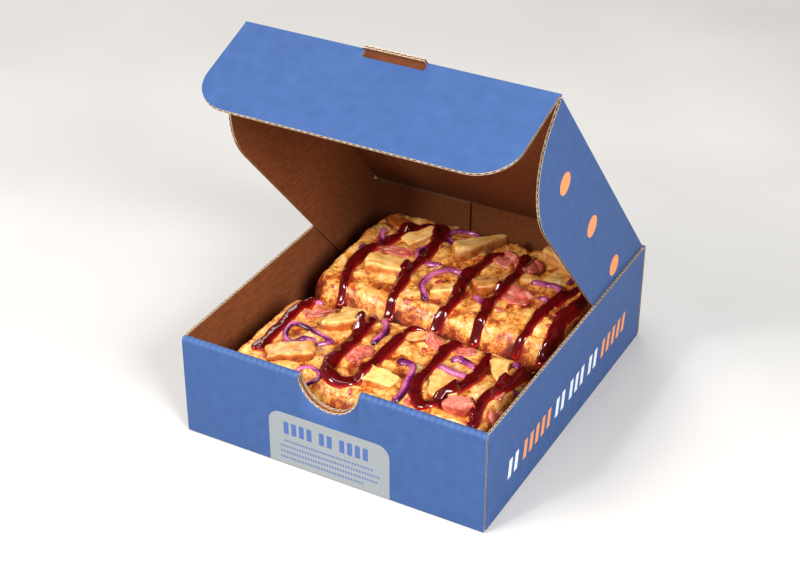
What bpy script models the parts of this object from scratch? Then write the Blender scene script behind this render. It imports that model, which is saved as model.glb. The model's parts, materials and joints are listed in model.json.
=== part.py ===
"""A loaded pizza in its corrugated takeaway box.

The box is one folded tray with a hinged lid, whose front flap folds down over the front wall.
Two long puffy slabs of pizza lie in the tray, with chicken, bacon and red onion on top.
Lengths are metres. X runs across the box, +Y to its back and +Z up; the origin is the centre
of the tray's footprint, on the surface that the tray stands on.
"""

import math

import bmesh
import bpy
from mathutils import Matrix, Vector
from mathutils.bvhtree import BVHTree

# Corrugated board and the tray
BOARD = 0.0018
GAP = 0.0003
TRAY_WIDTH = 0.220
TRAY_DEPTH = 0.252
TRAY_HEIGHT = 0.074

# The front wall is rolled over: two panels and a slot between, joined by a round top
FRONT_WALL = 0.0061
FRONT_TRIM = 0.0004
ROLL_STEPS = 8
FRONT_EAR_LENGTH = 0.058
FRONT_EAR_TOP = 0.0702
BACK_EAR_LENGTH = 0.0817
BACK_EAR_TOP = 0.0722
NOTCH_RADIUS = 0.022
NOTCH_DEPTH = 0.0216
NOTCH_STEPS = 24

# Lid: hinged on the back wall's top edge, drawn shut and then turned open
LID_OPENING = math.radians(49.0)
LID_LENGTH = 0.2465
LID_WIDTH = TRAY_WIDTH - 2.0 * BOARD - 0.001
HINGE_CLEARANCE = 0.0016
SIDE_FLAP_START = 0.0040
SIDE_FLAP_END = 0.2442
SIDE_FLAP_HEIGHT = 0.0665
SIDE_FLAP_SLOPE = 0.058
SIDE_FLAP_CORNER = 0.052
TAB_WIDTH = 0.042
TAB_LENGTH = 0.0060

# Front flap, folded down from the lid's front ridge
FLAP_FOLD = math.radians(68.0)
FLAP_HEIGHT = 0.0743
FLAP_START = 0.0012
FLAP_TAPER = 0.0008
FLAP_CORNER = 0.027
CORNER_STEPS = 10

# Pizza slabs: low x, high x, low y, high y, height of the top
REAR_SLAB = (-0.093, 0.104, -0.012, 0.115, 0.0600)
FRONT_SLAB = (-0.094, 0.104, -0.1185, -0.015, 0.0590)
SLAB_CORNER = 0.028
SLAB_SHOULDER = 0.020
SLAB_SIDE_TOP = 0.034
SIDE_PROFILE = ((0.006, BOARD + GAP), (0.002, 0.009), (0.0, 0.020), (0.0, SLAB_SIDE_TOP))
SHOULDER_STEPS = 5
CORE_SCALES = (0.72, 0.4)

# Toppings
SETTLE_STEP = 0.0002
CHICKEN_SPOKES = 10
ONION_WIDTH = 0.0042
ONION_HEIGHT = 0.0032
ONION_SPACING = 0.0035
BACON_CELLS = (4, 3)

# Chicken: centre x, centre y, length, width, height in millimetres, turn in degrees, taper
CHICKEN = (
    (-44, 29, 30, 17, 9, 12, 0.0), (-42, 77, 26, 13, 7, 48, 0.2), (4, 82, 45, 15, 11, 55, 0.7),
    (60, 94, 32, 15, 9, -24, 0.1), (28, 39, 23, 14, 9, 47, 0.1), (7, 21, 21, 11, 7, 31, 0.2),
    (85, 30, 18, 9, 6, 87, 0.0), (-64, 83, 20, 15, 9, -12, 0.1), (-34, -45, 28, 13, 9, 33, 0.1),
    (-37, -29, 18, 10, 5, 20, 0.0), (-48, -90, 32, 17, 10, 31, 0.0), (14, -87, 26, 15, 7, 2, 0.1),
    (56, -79, 20, 20, 8, 28, 0.0), (82, -49, 28, 14, 8, -58, 0.5), (16, -36, 20, 9, 5, 25, 0.2),
)

# Bacon: centre x, centre y, length, width, thickness in millimetres, turn in degrees
BACON = (
    (-51, 52, 26, 9, 2.6, 14), (23, 80, 14, 17, 2.4, -13), (42, 77, 17, 14, 2.6, -27),
    (50, 41, 24, 19, 2.2, -20), (-59, -39, 20, 8, 3.0, 40), (-10, -69, 22, 10, 2.8, 80),
    (28, -36, 13, 9, 2.8, -25), (75, -91, 19, 10, 11.0, 20), (94, -85, 13, 9, 5.0, 65),
    (90, -70, 7, 5, 2.6, 10), (49, -34, 13, 8, 2.8, 32),
)

# Red onion: whether the strip closes into a ring, then its route in millimetres
ONION = (
    (False, ((-60, 68), (-65, 62), (-70, 68), (-71, 75))),
    (False, ((-74, 42), (-71, 49))),
    (False, ((-33, 71), (-36, 62), (-34, 55), (-28, 48))),
    (False, ((-25, 48), (-17, 48), (-12, 51))),
    (False, ((-2, 7), (-12, 20), (-13, 30), (-9, 41), (-2, 50), (8, 49))),
    (True, ((-5, 86), (-17, 80), (-27, 87), (-24, 97), (-12, 101), (-4, 95))),
    (False, ((25, 27), (32, 22), (41, 16))),
    (False, ((52, 60), (65, 63), (74, 60), (79, 50))),
    (False, ((64, 47), (72, 47))),
    (False, ((76, 70), (78, 79))),
    (True, ((-36, -62), (-49, -58), (-62, -52), (-69, -60), (-63, -73), (-53, -78), (-42, -72))),
    (False, ((-16, -27), (-10, -33), (-7, -42), (-8, -56))),
    (False, ((-30, -21), (-22, -25))),
    (False, ((-38, -103), (-34, -97), (-26, -99), (-20, -105), (-21, -109))),
    (False, ((16, -65), (25, -65), (30, -70), (33, -84), (36, -98), (34, -106))),
    (False, ((42, -58), (53, -60), (65, -59))),
    (False, ((46, -48), (50, -43), (65, -48))),
    (False, ((82, -33), (91, -36))),
    (False, ((95, -57), (100, -47), (98, -36))),
    (False, ((-73, -31), (-62, -27))),
)


# ---------------------------------------------------------------- materials and objects

def linear(hex_colour):
    """Linear RGBA of an sRGB hex colour."""
    channels = []
    for start in (1, 3, 5):
        value = int(hex_colour[start:start + 2], 16) / 255.0
        channels.append(value / 12.92 if value <= 0.04045 else ((value + 0.055) / 1.055) ** 2.4)
    return (*channels, 1.0)


def make_material(name, hex_colour, roughness):
    """A non-metallic Principled material."""
    material = bpy.data.materials.new(name)
    material.use_nodes = True
    shader = material.node_tree.nodes["Principled BSDF"]
    shader.inputs["Base Color"].default_value = linear(hex_colour)
    shader.inputs["Roughness"].default_value = roughness
    shader.inputs["Metallic"].default_value = 0.0
    return material


def add_object(name, shape, material, parent=None):
    """Turn a bmesh into a named object; the bmesh is freed."""
    mesh = bpy.data.meshes.new(name)
    bmesh.ops.recalc_face_normals(shape, faces=shape.faces)
    shape.to_mesh(mesh)
    shape.free()
    mesh.materials.append(material)
    thing = bpy.data.objects.new(name, mesh)
    bpy.context.scene.collection.objects.link(thing)
    thing.parent = parent
    return thing


def add_pivot(name, location, turn, parent=None):
    """An empty on a hinge axis that runs along X, turned about it."""
    pivot = bpy.data.objects.new(name, None)
    pivot.empty_display_size = 0.02
    bpy.context.scene.collection.objects.link(pivot)
    pivot.parent = parent
    pivot.location = location
    pivot.rotation_euler = (turn, 0.0, 0.0)
    return pivot


def combine(target, tool, operation):
    """Boolean-combine a helper solid into the target; the helper itself isn't part of the model."""
    tool.hide_render = True
    tool.display_type = "WIRE"
    modifier = target.modifiers.new(tool.name, "BOOLEAN")
    modifier.operation = operation
    modifier.solver = "EXACT"
    modifier.object = tool


# ---------------------------------------------------------------- simple solids

def prism(outline, offset):
    """A closed solid: the flat outline swept straight along the offset."""
    shape = bmesh.new()
    face = shape.faces.new([shape.verts.new(point) for point in outline])
    swept = bmesh.ops.extrude_face_region(shape, geom=[face])
    moved = [item for item in swept["geom"] if isinstance(item, bmesh.types.BMVert)]
    bmesh.ops.translate(shape, verts=moved, vec=offset)
    return shape


def block(low, high):
    """A rectangular solid between two corners."""
    outline = [(low[0], low[1], low[2]), (high[0], low[1], low[2]),
               (high[0], high[1], low[2]), (low[0], high[1], low[2])]
    return prism(outline, (0.0, 0.0, high[2] - low[2]))


def arc(centre, radius, start, end, steps):
    """Points (a, b) on an arc, with both ends, angles in degrees."""
    points = []
    for step in range(steps + 1):
        angle = math.radians(start + (end - start) * step / steps)
        points.append((centre[0] + radius * math.cos(angle), centre[1] + radius * math.sin(angle)))
    return points


# ---------------------------------------------------------------- tray

def make_open_shell(material):
    """Floor, side walls, back wall and the line of the front ears, as an open-topped box."""
    half_x = TRAY_WIDTH / 2.0
    front = -TRAY_DEPTH / 2.0 + BOARD + FRONT_TRIM
    shape = block((-half_x, front, 0.0), (half_x, TRAY_DEPTH / 2.0, TRAY_HEIGHT))
    top = max(shape.faces, key=lambda face: face.calc_center_median().z)
    bmesh.ops.inset_individual(shape, faces=[top], thickness=BOARD, use_even_offset=True)
    pocket = bmesh.ops.extrude_face_region(shape, geom=[top])
    bottom = [item for item in pocket["geom"] if isinstance(item, bmesh.types.BMVert)]
    bmesh.ops.translate(shape, verts=bottom, vec=(0.0, 0.0, BOARD - TRAY_HEIGHT))
    bmesh.ops.delete(shape, geom=[top], context="FACES_ONLY")
    return add_object("tray", shape, material)


def rolled_wall_loops():
    """Outer and inner (y, z) loops of the front wall's section, point for point."""
    front = -TRAY_DEPTH / 2.0
    radius = FRONT_WALL / 2.0
    centre = (front + radius, TRAY_HEIGHT - radius)
    outer = [(front, 0.0)] + arc(centre, radius, 180.0, 0.0, ROLL_STEPS) + [(front + FRONT_WALL, 0.0)]
    inner = [(front + BOARD, BOARD)] + arc(centre, radius - BOARD, 180.0, 0.0, ROLL_STEPS)
    inner.append((front + FRONT_WALL - BOARD, BOARD))
    return outer, inner


def make_front_wall(material):
    """The rolled front wall: a flat tube along X, open at both ends, with the thumb notch cut out."""
    half_x = TRAY_WIDTH / 2.0 - FRONT_TRIM
    shape = bmesh.new()
    rings = []
    for x in (-half_x, half_x):
        rings.append([[shape.verts.new((x, y, z)) for y, z in loop] for loop in rolled_wall_loops()])
    count = len(rings[0][0])
    for index in range(count):
        following = (index + 1) % count
        for end in rings:
            outer, inner = end
            shape.faces.new((outer[index], outer[following], inner[following], inner[index]))
        for near, far in zip(rings[0], rings[1]):
            shape.faces.new((near[index], near[following], far[following], far[index]))
    wall = add_object("front_wall_helper", shape, material)

    base = TRAY_HEIGHT - NOTCH_DEPTH + NOTCH_RADIUS
    profile = arc((0.0, base), NOTCH_RADIUS, 180.0, 360.0, NOTCH_STEPS)
    profile += [(NOTCH_RADIUS, TRAY_HEIGHT + 0.01), (-NOTCH_RADIUS, TRAY_HEIGHT + 0.01)]
    start = -TRAY_DEPTH / 2.0 - 0.01
    cutter = prism([(x, start, z) for x, z in profile], (0.0, 0.03, 0.0))
    combine(wall, add_object("notch_cutter", cutter, material), "DIFFERENCE")
    return wall


def make_tray(material):
    """The tray, one folded piece of board."""
    tray = make_open_shell(material)
    half_x = TRAY_WIDTH / 2.0
    front = -TRAY_DEPTH / 2.0
    ear_low = front + BOARD
    ear_high = ear_low + FRONT_TRIM + BOARD + 0.0002
    middle = half_x - FRONT_EAR_LENGTH
    low_cut = block((-middle, ear_low, BOARD), (middle, ear_high, TRAY_HEIGHT + 0.01))
    combine(tray, add_object("ear_middle_cutter", low_cut, material), "DIFFERENCE")
    high_cut = block((BOARD - half_x, ear_low, FRONT_EAR_TOP),
                     (half_x - BOARD, ear_high, TRAY_HEIGHT + 0.01))
    combine(tray, add_object("ear_top_cutter", high_cut, material), "DIFFERENCE")
    combine(tray, make_front_wall(material), "UNION")
    for side, name in ((-1.0, "left_ear_helper"), (1.0, "right_ear_helper")):
        near, far = sorted((side * (half_x - BACK_EAR_LENGTH - BOARD), side * (half_x - BOARD / 2.0)))
        back = TRAY_DEPTH / 2.0 - BOARD
        ear = block((near, back - BOARD, BOARD / 2.0), (far, back + BOARD / 2.0, BACK_EAR_TOP))
        combine(tray, add_object(name, ear, material), "UNION")
    return tray


# ---------------------------------------------------------------- lid and front flap

def side_flap_outline(x):
    """Outline of a lid side flap at one x, in the shut lid's frame: forward is -Y, down is -Z."""
    corner_forward = SIDE_FLAP_END - SIDE_FLAP_SLOPE
    points = [(SIDE_FLAP_START, 0.0), (SIDE_FLAP_END, 0.0)]
    points += [(SIDE_FLAP_END - 0.002, SIDE_FLAP_HEIGHT - SIDE_FLAP_CORNER)]
    steps = CORNER_STEPS
    for step in range(1, steps + 1):
        angle = math.radians(90.0 * step / steps)
        points.append((corner_forward + (SIDE_FLAP_SLOPE - 0.002) * math.cos(angle),
                       SIDE_FLAP_HEIGHT - SIDE_FLAP_CORNER * (1.0 - math.sin(angle))))
    points.append((SIDE_FLAP_START, SIDE_FLAP_HEIGHT))
    return [Vector((x, -forward, -down)) for forward, down in points]


def make_lid(material, pivot):
    """The lid's top panel with its two side flaps and the tab at the middle of its front ridge."""
    half = LID_WIDTH / 2.0
    tab = TAB_WIDTH / 2.0
    forward = -LID_LENGTH
    outline = [(-half, -HINGE_CLEARANCE), (-half, forward), (-tab, forward), (-tab, forward - TAB_LENGTH),
               (tab, forward - TAB_LENGTH), (tab, forward), (half, forward), (half, -HINGE_CLEARANCE)]
    panel = prism([(x, y, -BOARD / 2.0) for x, y in outline], (0.0, 0.0, BOARD))
    lid = add_object("lid", panel, material, pivot)
    for side, name in ((-1.0, "left_side_helper"), (1.0, "right_side_helper")):
        start = min(side * half, side * (half - BOARD))
        flap = prism(side_flap_outline(start), (BOARD, 0.0, 0.0))
        combine(lid, add_object(name, flap, material, pivot), "UNION")
    return lid


def make_front_flap(material, pivot):
    """The front flap, flat, with big round lower corners and the slot that the tab was cut from."""
    half = LID_WIDTH / 2.0 - GAP
    foot = half - FLAP_TAPER
    slot = TAB_WIDTH / 2.0 + 0.0005
    slot_end = TAB_LENGTH + 0.0005
    points = [(-slot, FLAP_START), (-slot, slot_end), (slot, slot_end), (slot, FLAP_START),
              (half, FLAP_START)]
    low = FLAP_HEIGHT - FLAP_CORNER
    points += arc((foot - FLAP_CORNER, low), FLAP_CORNER, 0.0, 90.0, CORNER_STEPS)
    points += arc((FLAP_CORNER - foot, low), FLAP_CORNER, 90.0, 180.0, CORNER_STEPS)
    points.append((-half, FLAP_START))
    shape = prism([(x, -down, -BOARD / 2.0) for x, down in points], (0.0, 0.0, BOARD))
    return add_object("front_flap", shape, material, pivot)


# ---------------------------------------------------------------- pizza slabs

def swell(x, y):
    """Uneven rise of the baked top, in metres."""
    broad = 0.0016 * math.sin(x / 0.017 + 0.7) * math.cos(y / 0.019 - 0.4)
    fine = 0.0011 * math.sin(x / 0.009 - y / 0.013 + 1.9)
    return broad + fine


def rim_stations(half_x, half_y):
    """Anchors on the rounded rectangle's core and their outward directions, all round."""
    core_x = half_x - SLAB_CORNER
    core_y = half_y - SLAB_CORNER
    corners = ((core_x, -core_y, -90.0), (core_x, core_y, 0.0), (-core_x, core_y, 90.0),
               (-core_x, -core_y, 180.0))
    stations = []
    for index, (corner_x, corner_y, start) in enumerate(corners):
        for step in range(5):
            angle = math.radians(start + 90.0 * step / 4.0)
            stations.append((Vector((corner_x, corner_y)), Vector((math.cos(angle), math.sin(angle)))))
        next_x, next_y, _ = corners[(index + 1) % 4]
        edge = Vector((next_x - corner_x, next_y - corner_y))
        count = max(2, round(edge.length / 0.011))
        outward = Vector((edge.y, -edge.x)).normalized()
        for step in range(1, count):
            stations.append((Vector((corner_x, corner_y)) + edge * step / count, outward))
    return stations


def make_slab(name, size, material):
    """One puffy slab: steep baked sides, a round shoulder and an uneven top."""
    low_x, high_x, low_y, high_y, top = size
    centre = Vector(((low_x + high_x) / 2.0, (low_y + high_y) / 2.0))
    stations = rim_stations((high_x - low_x) / 2.0, (high_y - low_y) / 2.0)
    shape = bmesh.new()
    rings = []
    for inset, height in SIDE_PROFILE:
        ring = []
        for anchor, outward in stations:
            place = anchor + outward * (SLAB_CORNER - inset)
            ring.append(shape.verts.new((place.x, place.y, height)))
        rings.append(ring)
    for step in range(1, SHOULDER_STEPS + 1):
        angle = math.radians(90.0 * step / SHOULDER_STEPS)
        inset = SLAB_SHOULDER * (1.0 - math.cos(angle))
        ring = []
        for anchor, outward in stations:
            place = anchor + outward * (SLAB_CORNER - inset)
            rise = top - SLAB_SIDE_TOP + swell(centre.x + place.x, centre.y + place.y)
            ring.append(shape.verts.new((place.x, place.y, SLAB_SIDE_TOP + rise * math.sin(angle))))
        rings.append(ring)
    for scale in CORE_SCALES:
        ring = []
        for anchor, outward in stations:
            place = (anchor + outward * (SLAB_CORNER - SLAB_SHOULDER)) * scale
            height = top + swell(centre.x + place.x, centre.y + place.y)
            ring.append(shape.verts.new((place.x, place.y, height)))
        rings.append(ring)
    count = len(stations)
    for lower, upper in zip(rings, rings[1:]):
        for index in range(count):
            following = (index + 1) % count
            shape.faces.new((lower[index], lower[following], upper[following], upper[index]))
    crown = shape.verts.new((0.0, 0.0, top + swell(centre.x, centre.y)))
    for index in range(count):
        shape.faces.new((rings[-1][index], rings[-1][(index + 1) % count], crown))
    shape.faces.new(reversed(rings[0]))
    bmesh.ops.triangulate(shape, faces=shape.faces)
    slab = add_object(name, shape, material)
    slab.location = (centre.x, centre.y, 0.0)
    slab.data.shade_smooth()
    return slab


# ---------------------------------------------------------------- toppings

class Ground:
    """The surface that toppings lie on: the slabs, then each topping already laid."""

    def __init__(self):
        self.trees = []

    def add(self, vertices, faces):
        """Add a mesh, in world coordinates."""
        self.trees.append(BVHTree.FromPolygons(vertices, faces))

    def height(self, x, y):
        """The highest surface under (x, y), or None beside the pizza."""
        best = None
        for tree in self.trees:
            hit = tree.ray_cast(Vector((x, y, 0.2)), Vector((0.0, 0.0, -1.0)))[0]
            if hit is not None and (best is None or hit.z > best):
                best = hit.z
        return best

    def touches(self, vertices, faces):
        """Whether a mesh cuts through anything already there."""
        piece = BVHTree.FromPolygons(vertices, faces)
        return any(piece.overlap(tree) for tree in self.trees)


def lay(name, shape, centre, turn, ground, material):
    """Lay a topping that was drawn flat about its own centre: drape it, then lift it just clear."""
    turned = Matrix.Rotation(math.radians(turn), 2)
    bmesh.ops.triangulate(shape, faces=shape.faces)
    for vertex in shape.verts:
        flat = turned @ Vector((vertex.co.x, vertex.co.y))
        vertex.co.x, vertex.co.y = flat
        vertex.co.z += ground.height(centre.x + flat.x, centre.y + flat.y)
    shape.verts.index_update()
    faces = [[vertex.index for vertex in face.verts] for face in shape.faces]
    lift = 0.0
    while True:
        offset = Vector((centre.x, centre.y, lift))
        placed = [vertex.co + offset for vertex in shape.verts]
        if not ground.touches(placed, faces):
            break
        lift += SETTLE_STEP
    lift += GAP
    ground.add([place + Vector((0.0, 0.0, GAP)) for place in placed], faces)
    base = min(vertex.co.z for vertex in shape.verts)
    bmesh.ops.translate(shape, verts=shape.verts, vec=(0.0, 0.0, -base))
    thing = add_object(name, shape, material)
    thing.location = (centre.x, centre.y, base + lift)
    thing.data.shade_smooth()
    thing.data.set_sharp_from_angle(angle=math.radians(50.0))
    return thing


def chicken_shape(length, width, height, taper):
    """A torn piece of chicken breast: a block with soft edges that narrows to one end."""
    levels = ((0.45, 0.0), (0.86, 0.0), (1.0, 0.30), (0.95, 0.68), (0.74, 0.94), (0.36, 1.0))
    shape = bmesh.new()
    rings = []
    for scale, level in levels:
        ring = []
        for spoke in range(CHICKEN_SPOKES):
            angle = 2.0 * math.pi * (spoke + 0.5) / CHICKEN_SPOKES
            cosine, sine = math.cos(angle), math.sin(angle)
            x = math.copysign(abs(cosine) ** 0.6, cosine) * length / 2.0 * scale
            y = math.copysign(abs(sine) ** 0.6, sine) * width / 2.0 * scale
            y *= 1.0 - taper * (x / length + 0.5)
            x *= 1.0 + 0.06 * math.sin(3.0 * angle + length)
            ring.append(shape.verts.new((x, y, height * level)))
        rings.append(ring)
    for lower, upper in zip(rings, rings[1:]):
        for index in range(CHICKEN_SPOKES):
            following = (index + 1) % CHICKEN_SPOKES
            shape.faces.new((lower[index], lower[following], upper[following], upper[index]))
    shape.faces.new(rings[-1])
    shape.faces.new(reversed(rings[0]))
    return shape


def bacon_shape(length, width, thickness):
    """A flat piece of bacon with wavy long edges, cut in a grid."""
    along, across = BACON_CELLS
    shape = bmesh.new()
    layers = []
    for level in (0.0, thickness):
        grid = []
        for i in range(along + 1):
            row = []
            for j in range(across + 1):
                x = length * (i / along - 0.5)
                wave = 0.08 * width * math.sin(2.3 * i + 900.0 * width)
                y = width * (j / across - 0.5) * (1.0 - 0.18 * abs(i / along - 0.5)) + wave
                row.append(shape.verts.new((x, y, level)))
            grid.append(row)
        layers.append(grid)
    bottom, top = layers
    for i in range(along):
        for j in range(across):
            for grid in layers:
                shape.faces.new((grid[i][j], grid[i + 1][j], grid[i + 1][j + 1], grid[i][j + 1]))
    for i in range(along):
        for j in (0, across):
            shape.faces.new((bottom[i][j], bottom[i + 1][j], top[i + 1][j], top[i][j]))
    for j in range(across):
        for i in (0, along):
            shape.faces.new((bottom[i][j], bottom[i][j + 1], top[i][j + 1], top[i][j]))
    return shape


def smooth_route(points, closed):
    """Evenly stepped points on a smooth curve through a route's own points."""
    count = len(points)
    spans = count if closed else count - 1
    route = []
    for index in range(spans):
        if closed:
            p0, p1, p2, p3 = (points[(index + shift) % count] for shift in (-1, 0, 1, 2))
        else:
            p0, p1 = points[max(index - 1, 0)], points[index]
            p2, p3 = points[index + 1], points[min(index + 2, count - 1)]
        steps = max(1, round((p2 - p1).length / ONION_SPACING))
        for step in range(steps):
            t = step / steps
            route.append(0.5 * (2.0 * p1 + (p2 - p0) * t + (2.0 * p0 - 5.0 * p1 + 4.0 * p2 - p3) * t ** 2
                                + (3.0 * p1 - p0 - 3.0 * p2 + p3) * t ** 3))
    if not closed:
        route.append(points[-1])
    return route


def onion_shape(points, closed):
    """A strip of red onion along a flat route, with a low six-sided section."""
    section = ((-0.5, 0.35), (-0.26, 0.0), (0.26, 0.0), (0.5, 0.35), (0.28, 1.0), (-0.28, 1.0))
    route = smooth_route(points, closed)
    count = len(route)
    shape = bmesh.new()
    rings = []
    for index, place in enumerate(route):
        if closed:
            ahead = route[(index + 1) % count] - route[index - 1]
        else:
            ahead = route[min(index + 1, count - 1)] - route[max(index - 1, 0)]
        side = Vector((-ahead.y, ahead.x)).normalized()
        slim = 1.0 if closed or 0 < index < count - 1 else 0.6
        ring = []
        for across, level in section:
            spot = place + side * across * ONION_WIDTH * slim
            ring.append(shape.verts.new((spot.x, spot.y, ONION_HEIGHT * level)))
        rings.append(ring)
    pairs = list(zip(rings, rings[1:]))
    if closed:
        pairs.append((rings[-1], rings[0]))
    else:
        shape.faces.new(rings[0])
        shape.faces.new(reversed(rings[-1]))
    sides = len(section)
    for near, far in pairs:
        for index in range(sides):
            following = (index + 1) % sides
            shape.faces.new((near[index], near[following], far[following], far[index]))
    return shape


def make_toppings(slabs):
    """Every piece of chicken, bacon and onion, each its own object."""
    chicken = make_material("roast_chicken", "#E9B765", 0.5)
    bacon = make_material("bacon", "#D5705A", 0.45)
    onion = make_material("red_onion", "#8E3A7A", 0.35)
    ground = Ground()
    for slab in slabs:
        vertices = [vertex.co + slab.location for vertex in slab.data.vertices]
        ground.add(vertices, [list(polygon.vertices) for polygon in slab.data.polygons])
    millimetre = 0.001
    for number, (x, y, length, width, height, turn, taper) in enumerate(CHICKEN, 1):
        shape = chicken_shape(length * millimetre, width * millimetre, height * millimetre, taper)
        centre = Vector((x, y)) * millimetre
        lay(f"chicken_{number:02d}", shape, centre, turn, ground, chicken)
    for number, (x, y, length, width, thickness, turn) in enumerate(BACON, 1):
        shape = bacon_shape(length * millimetre, width * millimetre, thickness * millimetre)
        centre = Vector((x, y)) * millimetre
        lay(f"bacon_{number:02d}", shape, centre, turn, ground, bacon)
    for number, (closed, route) in enumerate(ONION, 1):
        points = [Vector(point) * millimetre for point in route]
        centre = sum(points, Vector((0.0, 0.0))) / len(points)
        shape = onion_shape([point - centre for point in points], closed)
        lay(f"onion_{number:02d}", shape, centre, 0.0, ground, onion)


def main():
    """Clear the scene and build the whole object."""
    for thing in list(bpy.data.objects):
        bpy.data.objects.remove(thing, do_unlink=True)
    blue_board = make_material("blue_board", "#4F6FAE", 0.55)
    crust = make_material("baked_crust", "#E0A24E", 0.6)

    make_tray(blue_board)
    hinge = (0.0, TRAY_DEPTH / 2.0 - BOARD / 2.0, TRAY_HEIGHT - BOARD / 2.0)
    lid_hinge = add_pivot("lid_hinge", hinge, -LID_OPENING)
    make_lid(blue_board, lid_hinge)
    flap_hinge = add_pivot("flap_hinge", (0.0, -LID_LENGTH, 0.0), FLAP_FOLD, lid_hinge)
    make_front_flap(blue_board, flap_hinge)
    bpy.context.view_layer.update()

    slabs = [make_slab("pizza_rear", REAR_SLAB, crust), make_slab("pizza_front", FRONT_SLAB, crust)]
    make_toppings(slabs)


main()
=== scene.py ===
"""Looks of a loaded pizza in its corrugated takeaway box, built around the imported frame.

Lengths are metres in the frame's own axes: X across the box, +Y to its hinged back wall, +Z up.
"""

import json
import logging
import math
from collections.abc import Callable, Iterable, Sequence
from dataclasses import dataclass, field
from enum import Enum
from functools import cache

import bmesh
import bpy
import numpy as np
from mathutils import Matrix, Vector, noise
from mathutils.bvhtree import BVHTree


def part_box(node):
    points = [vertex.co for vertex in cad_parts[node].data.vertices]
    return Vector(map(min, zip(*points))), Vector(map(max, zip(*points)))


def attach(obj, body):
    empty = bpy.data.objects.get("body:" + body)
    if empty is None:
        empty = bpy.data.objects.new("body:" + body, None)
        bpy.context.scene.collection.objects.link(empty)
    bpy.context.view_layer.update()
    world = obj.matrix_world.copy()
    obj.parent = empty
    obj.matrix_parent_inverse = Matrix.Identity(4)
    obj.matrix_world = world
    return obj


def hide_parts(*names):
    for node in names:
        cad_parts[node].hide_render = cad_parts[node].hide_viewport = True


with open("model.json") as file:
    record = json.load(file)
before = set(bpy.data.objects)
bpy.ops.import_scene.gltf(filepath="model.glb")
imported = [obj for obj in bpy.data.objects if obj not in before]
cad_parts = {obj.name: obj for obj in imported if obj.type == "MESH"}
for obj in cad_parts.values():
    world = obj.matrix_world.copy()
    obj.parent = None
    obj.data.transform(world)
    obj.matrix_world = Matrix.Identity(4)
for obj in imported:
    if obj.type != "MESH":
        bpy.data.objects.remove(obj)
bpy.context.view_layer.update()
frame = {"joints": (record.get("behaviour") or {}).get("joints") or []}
LOG = logging.getLogger("pizza_box")
MM = 0.001
# ink painted lighter per metre that a crest stands proud: worn-off ink and painted sheen
RUB_AND_SHEEN_PER_METRE = 1700.0
NOISE_SEED = 7
STREWN_SLOPE = 0.72
FLOOR_GAP = 0.3 * MM
FLUTE_PITCH = 4.4 * MM
Point2 = tuple[float, float]
Socket = bpy.types.NodeSocket
Thing = bpy.types.Object
Tree = bpy.types.NodeTree


class Side(Enum):
    """Left or right of the box, as the sign of X."""

    LEFT = -1
    RIGHT = 1


class Face(Enum):
    """Material slot numbers on a piece of board."""

    INK = 0
    KRAFT = 1
    PAPER_EDGE = 2
    MEDIUM = 3


# --- colours, nodes and objects

def linear(hex_colour: str) -> tuple[float, float, float, float]:
    """Turn an sRGB hex colour into linear RGBA.

    Args:
        hex_colour: Colour such as "#5474B0".

    Returns:
        Linear red, green, blue and an alpha of one.
    """
    values = [int(hex_colour[start:start + 2], 16) / 255.0 for start in (1, 3, 5)]
    curve = [v / 12.92 if v <= 0.04045 else ((v + 0.055) / 1.055) ** 2.4 for v in values]
    return curve[0], curve[1], curve[2], 1.0


def feed(node: bpy.types.Node, inputs: dict) -> None:
    """Set a node's inputs.

    Args:
        node: The node.
        inputs: Socket name or number to a value, or to the node or output that feeds it.
    """
    for key, value in inputs.items():
        if isinstance(value, bpy.types.Node):
            value = value.outputs[0]
        if isinstance(value, Socket):
            node.id_data.links.new(value, node.inputs[key])
        else:
            node.inputs[key].default_value = value


class Pad:
    """A node tree being filled, with short ways to add its commonest nodes."""

    def __init__(self, tree: Tree) -> None:
        """Start on a tree."""
        self.tree = tree

    def add(self, kind: str, inputs: dict | None = None, **settings: object) -> bpy.types.Node:
        """Add one node.

        Args:
            kind: The node's type name.
            inputs: What feeds its sockets.
            settings: Attributes to set on the node, before its inputs.

        Returns:
            The new node.
        """
        node = self.tree.nodes.new(kind)
        for key, value in settings.items():
            setattr(node, key, value)
        feed(node, inputs or {})
        return node

    def math(self, operation: str, *values: float | Socket) -> Socket:
        """Result of one sum on numbers or sockets."""
        return self.add("ShaderNodeMath", dict(enumerate(values)), operation=operation).outputs[0]


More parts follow.
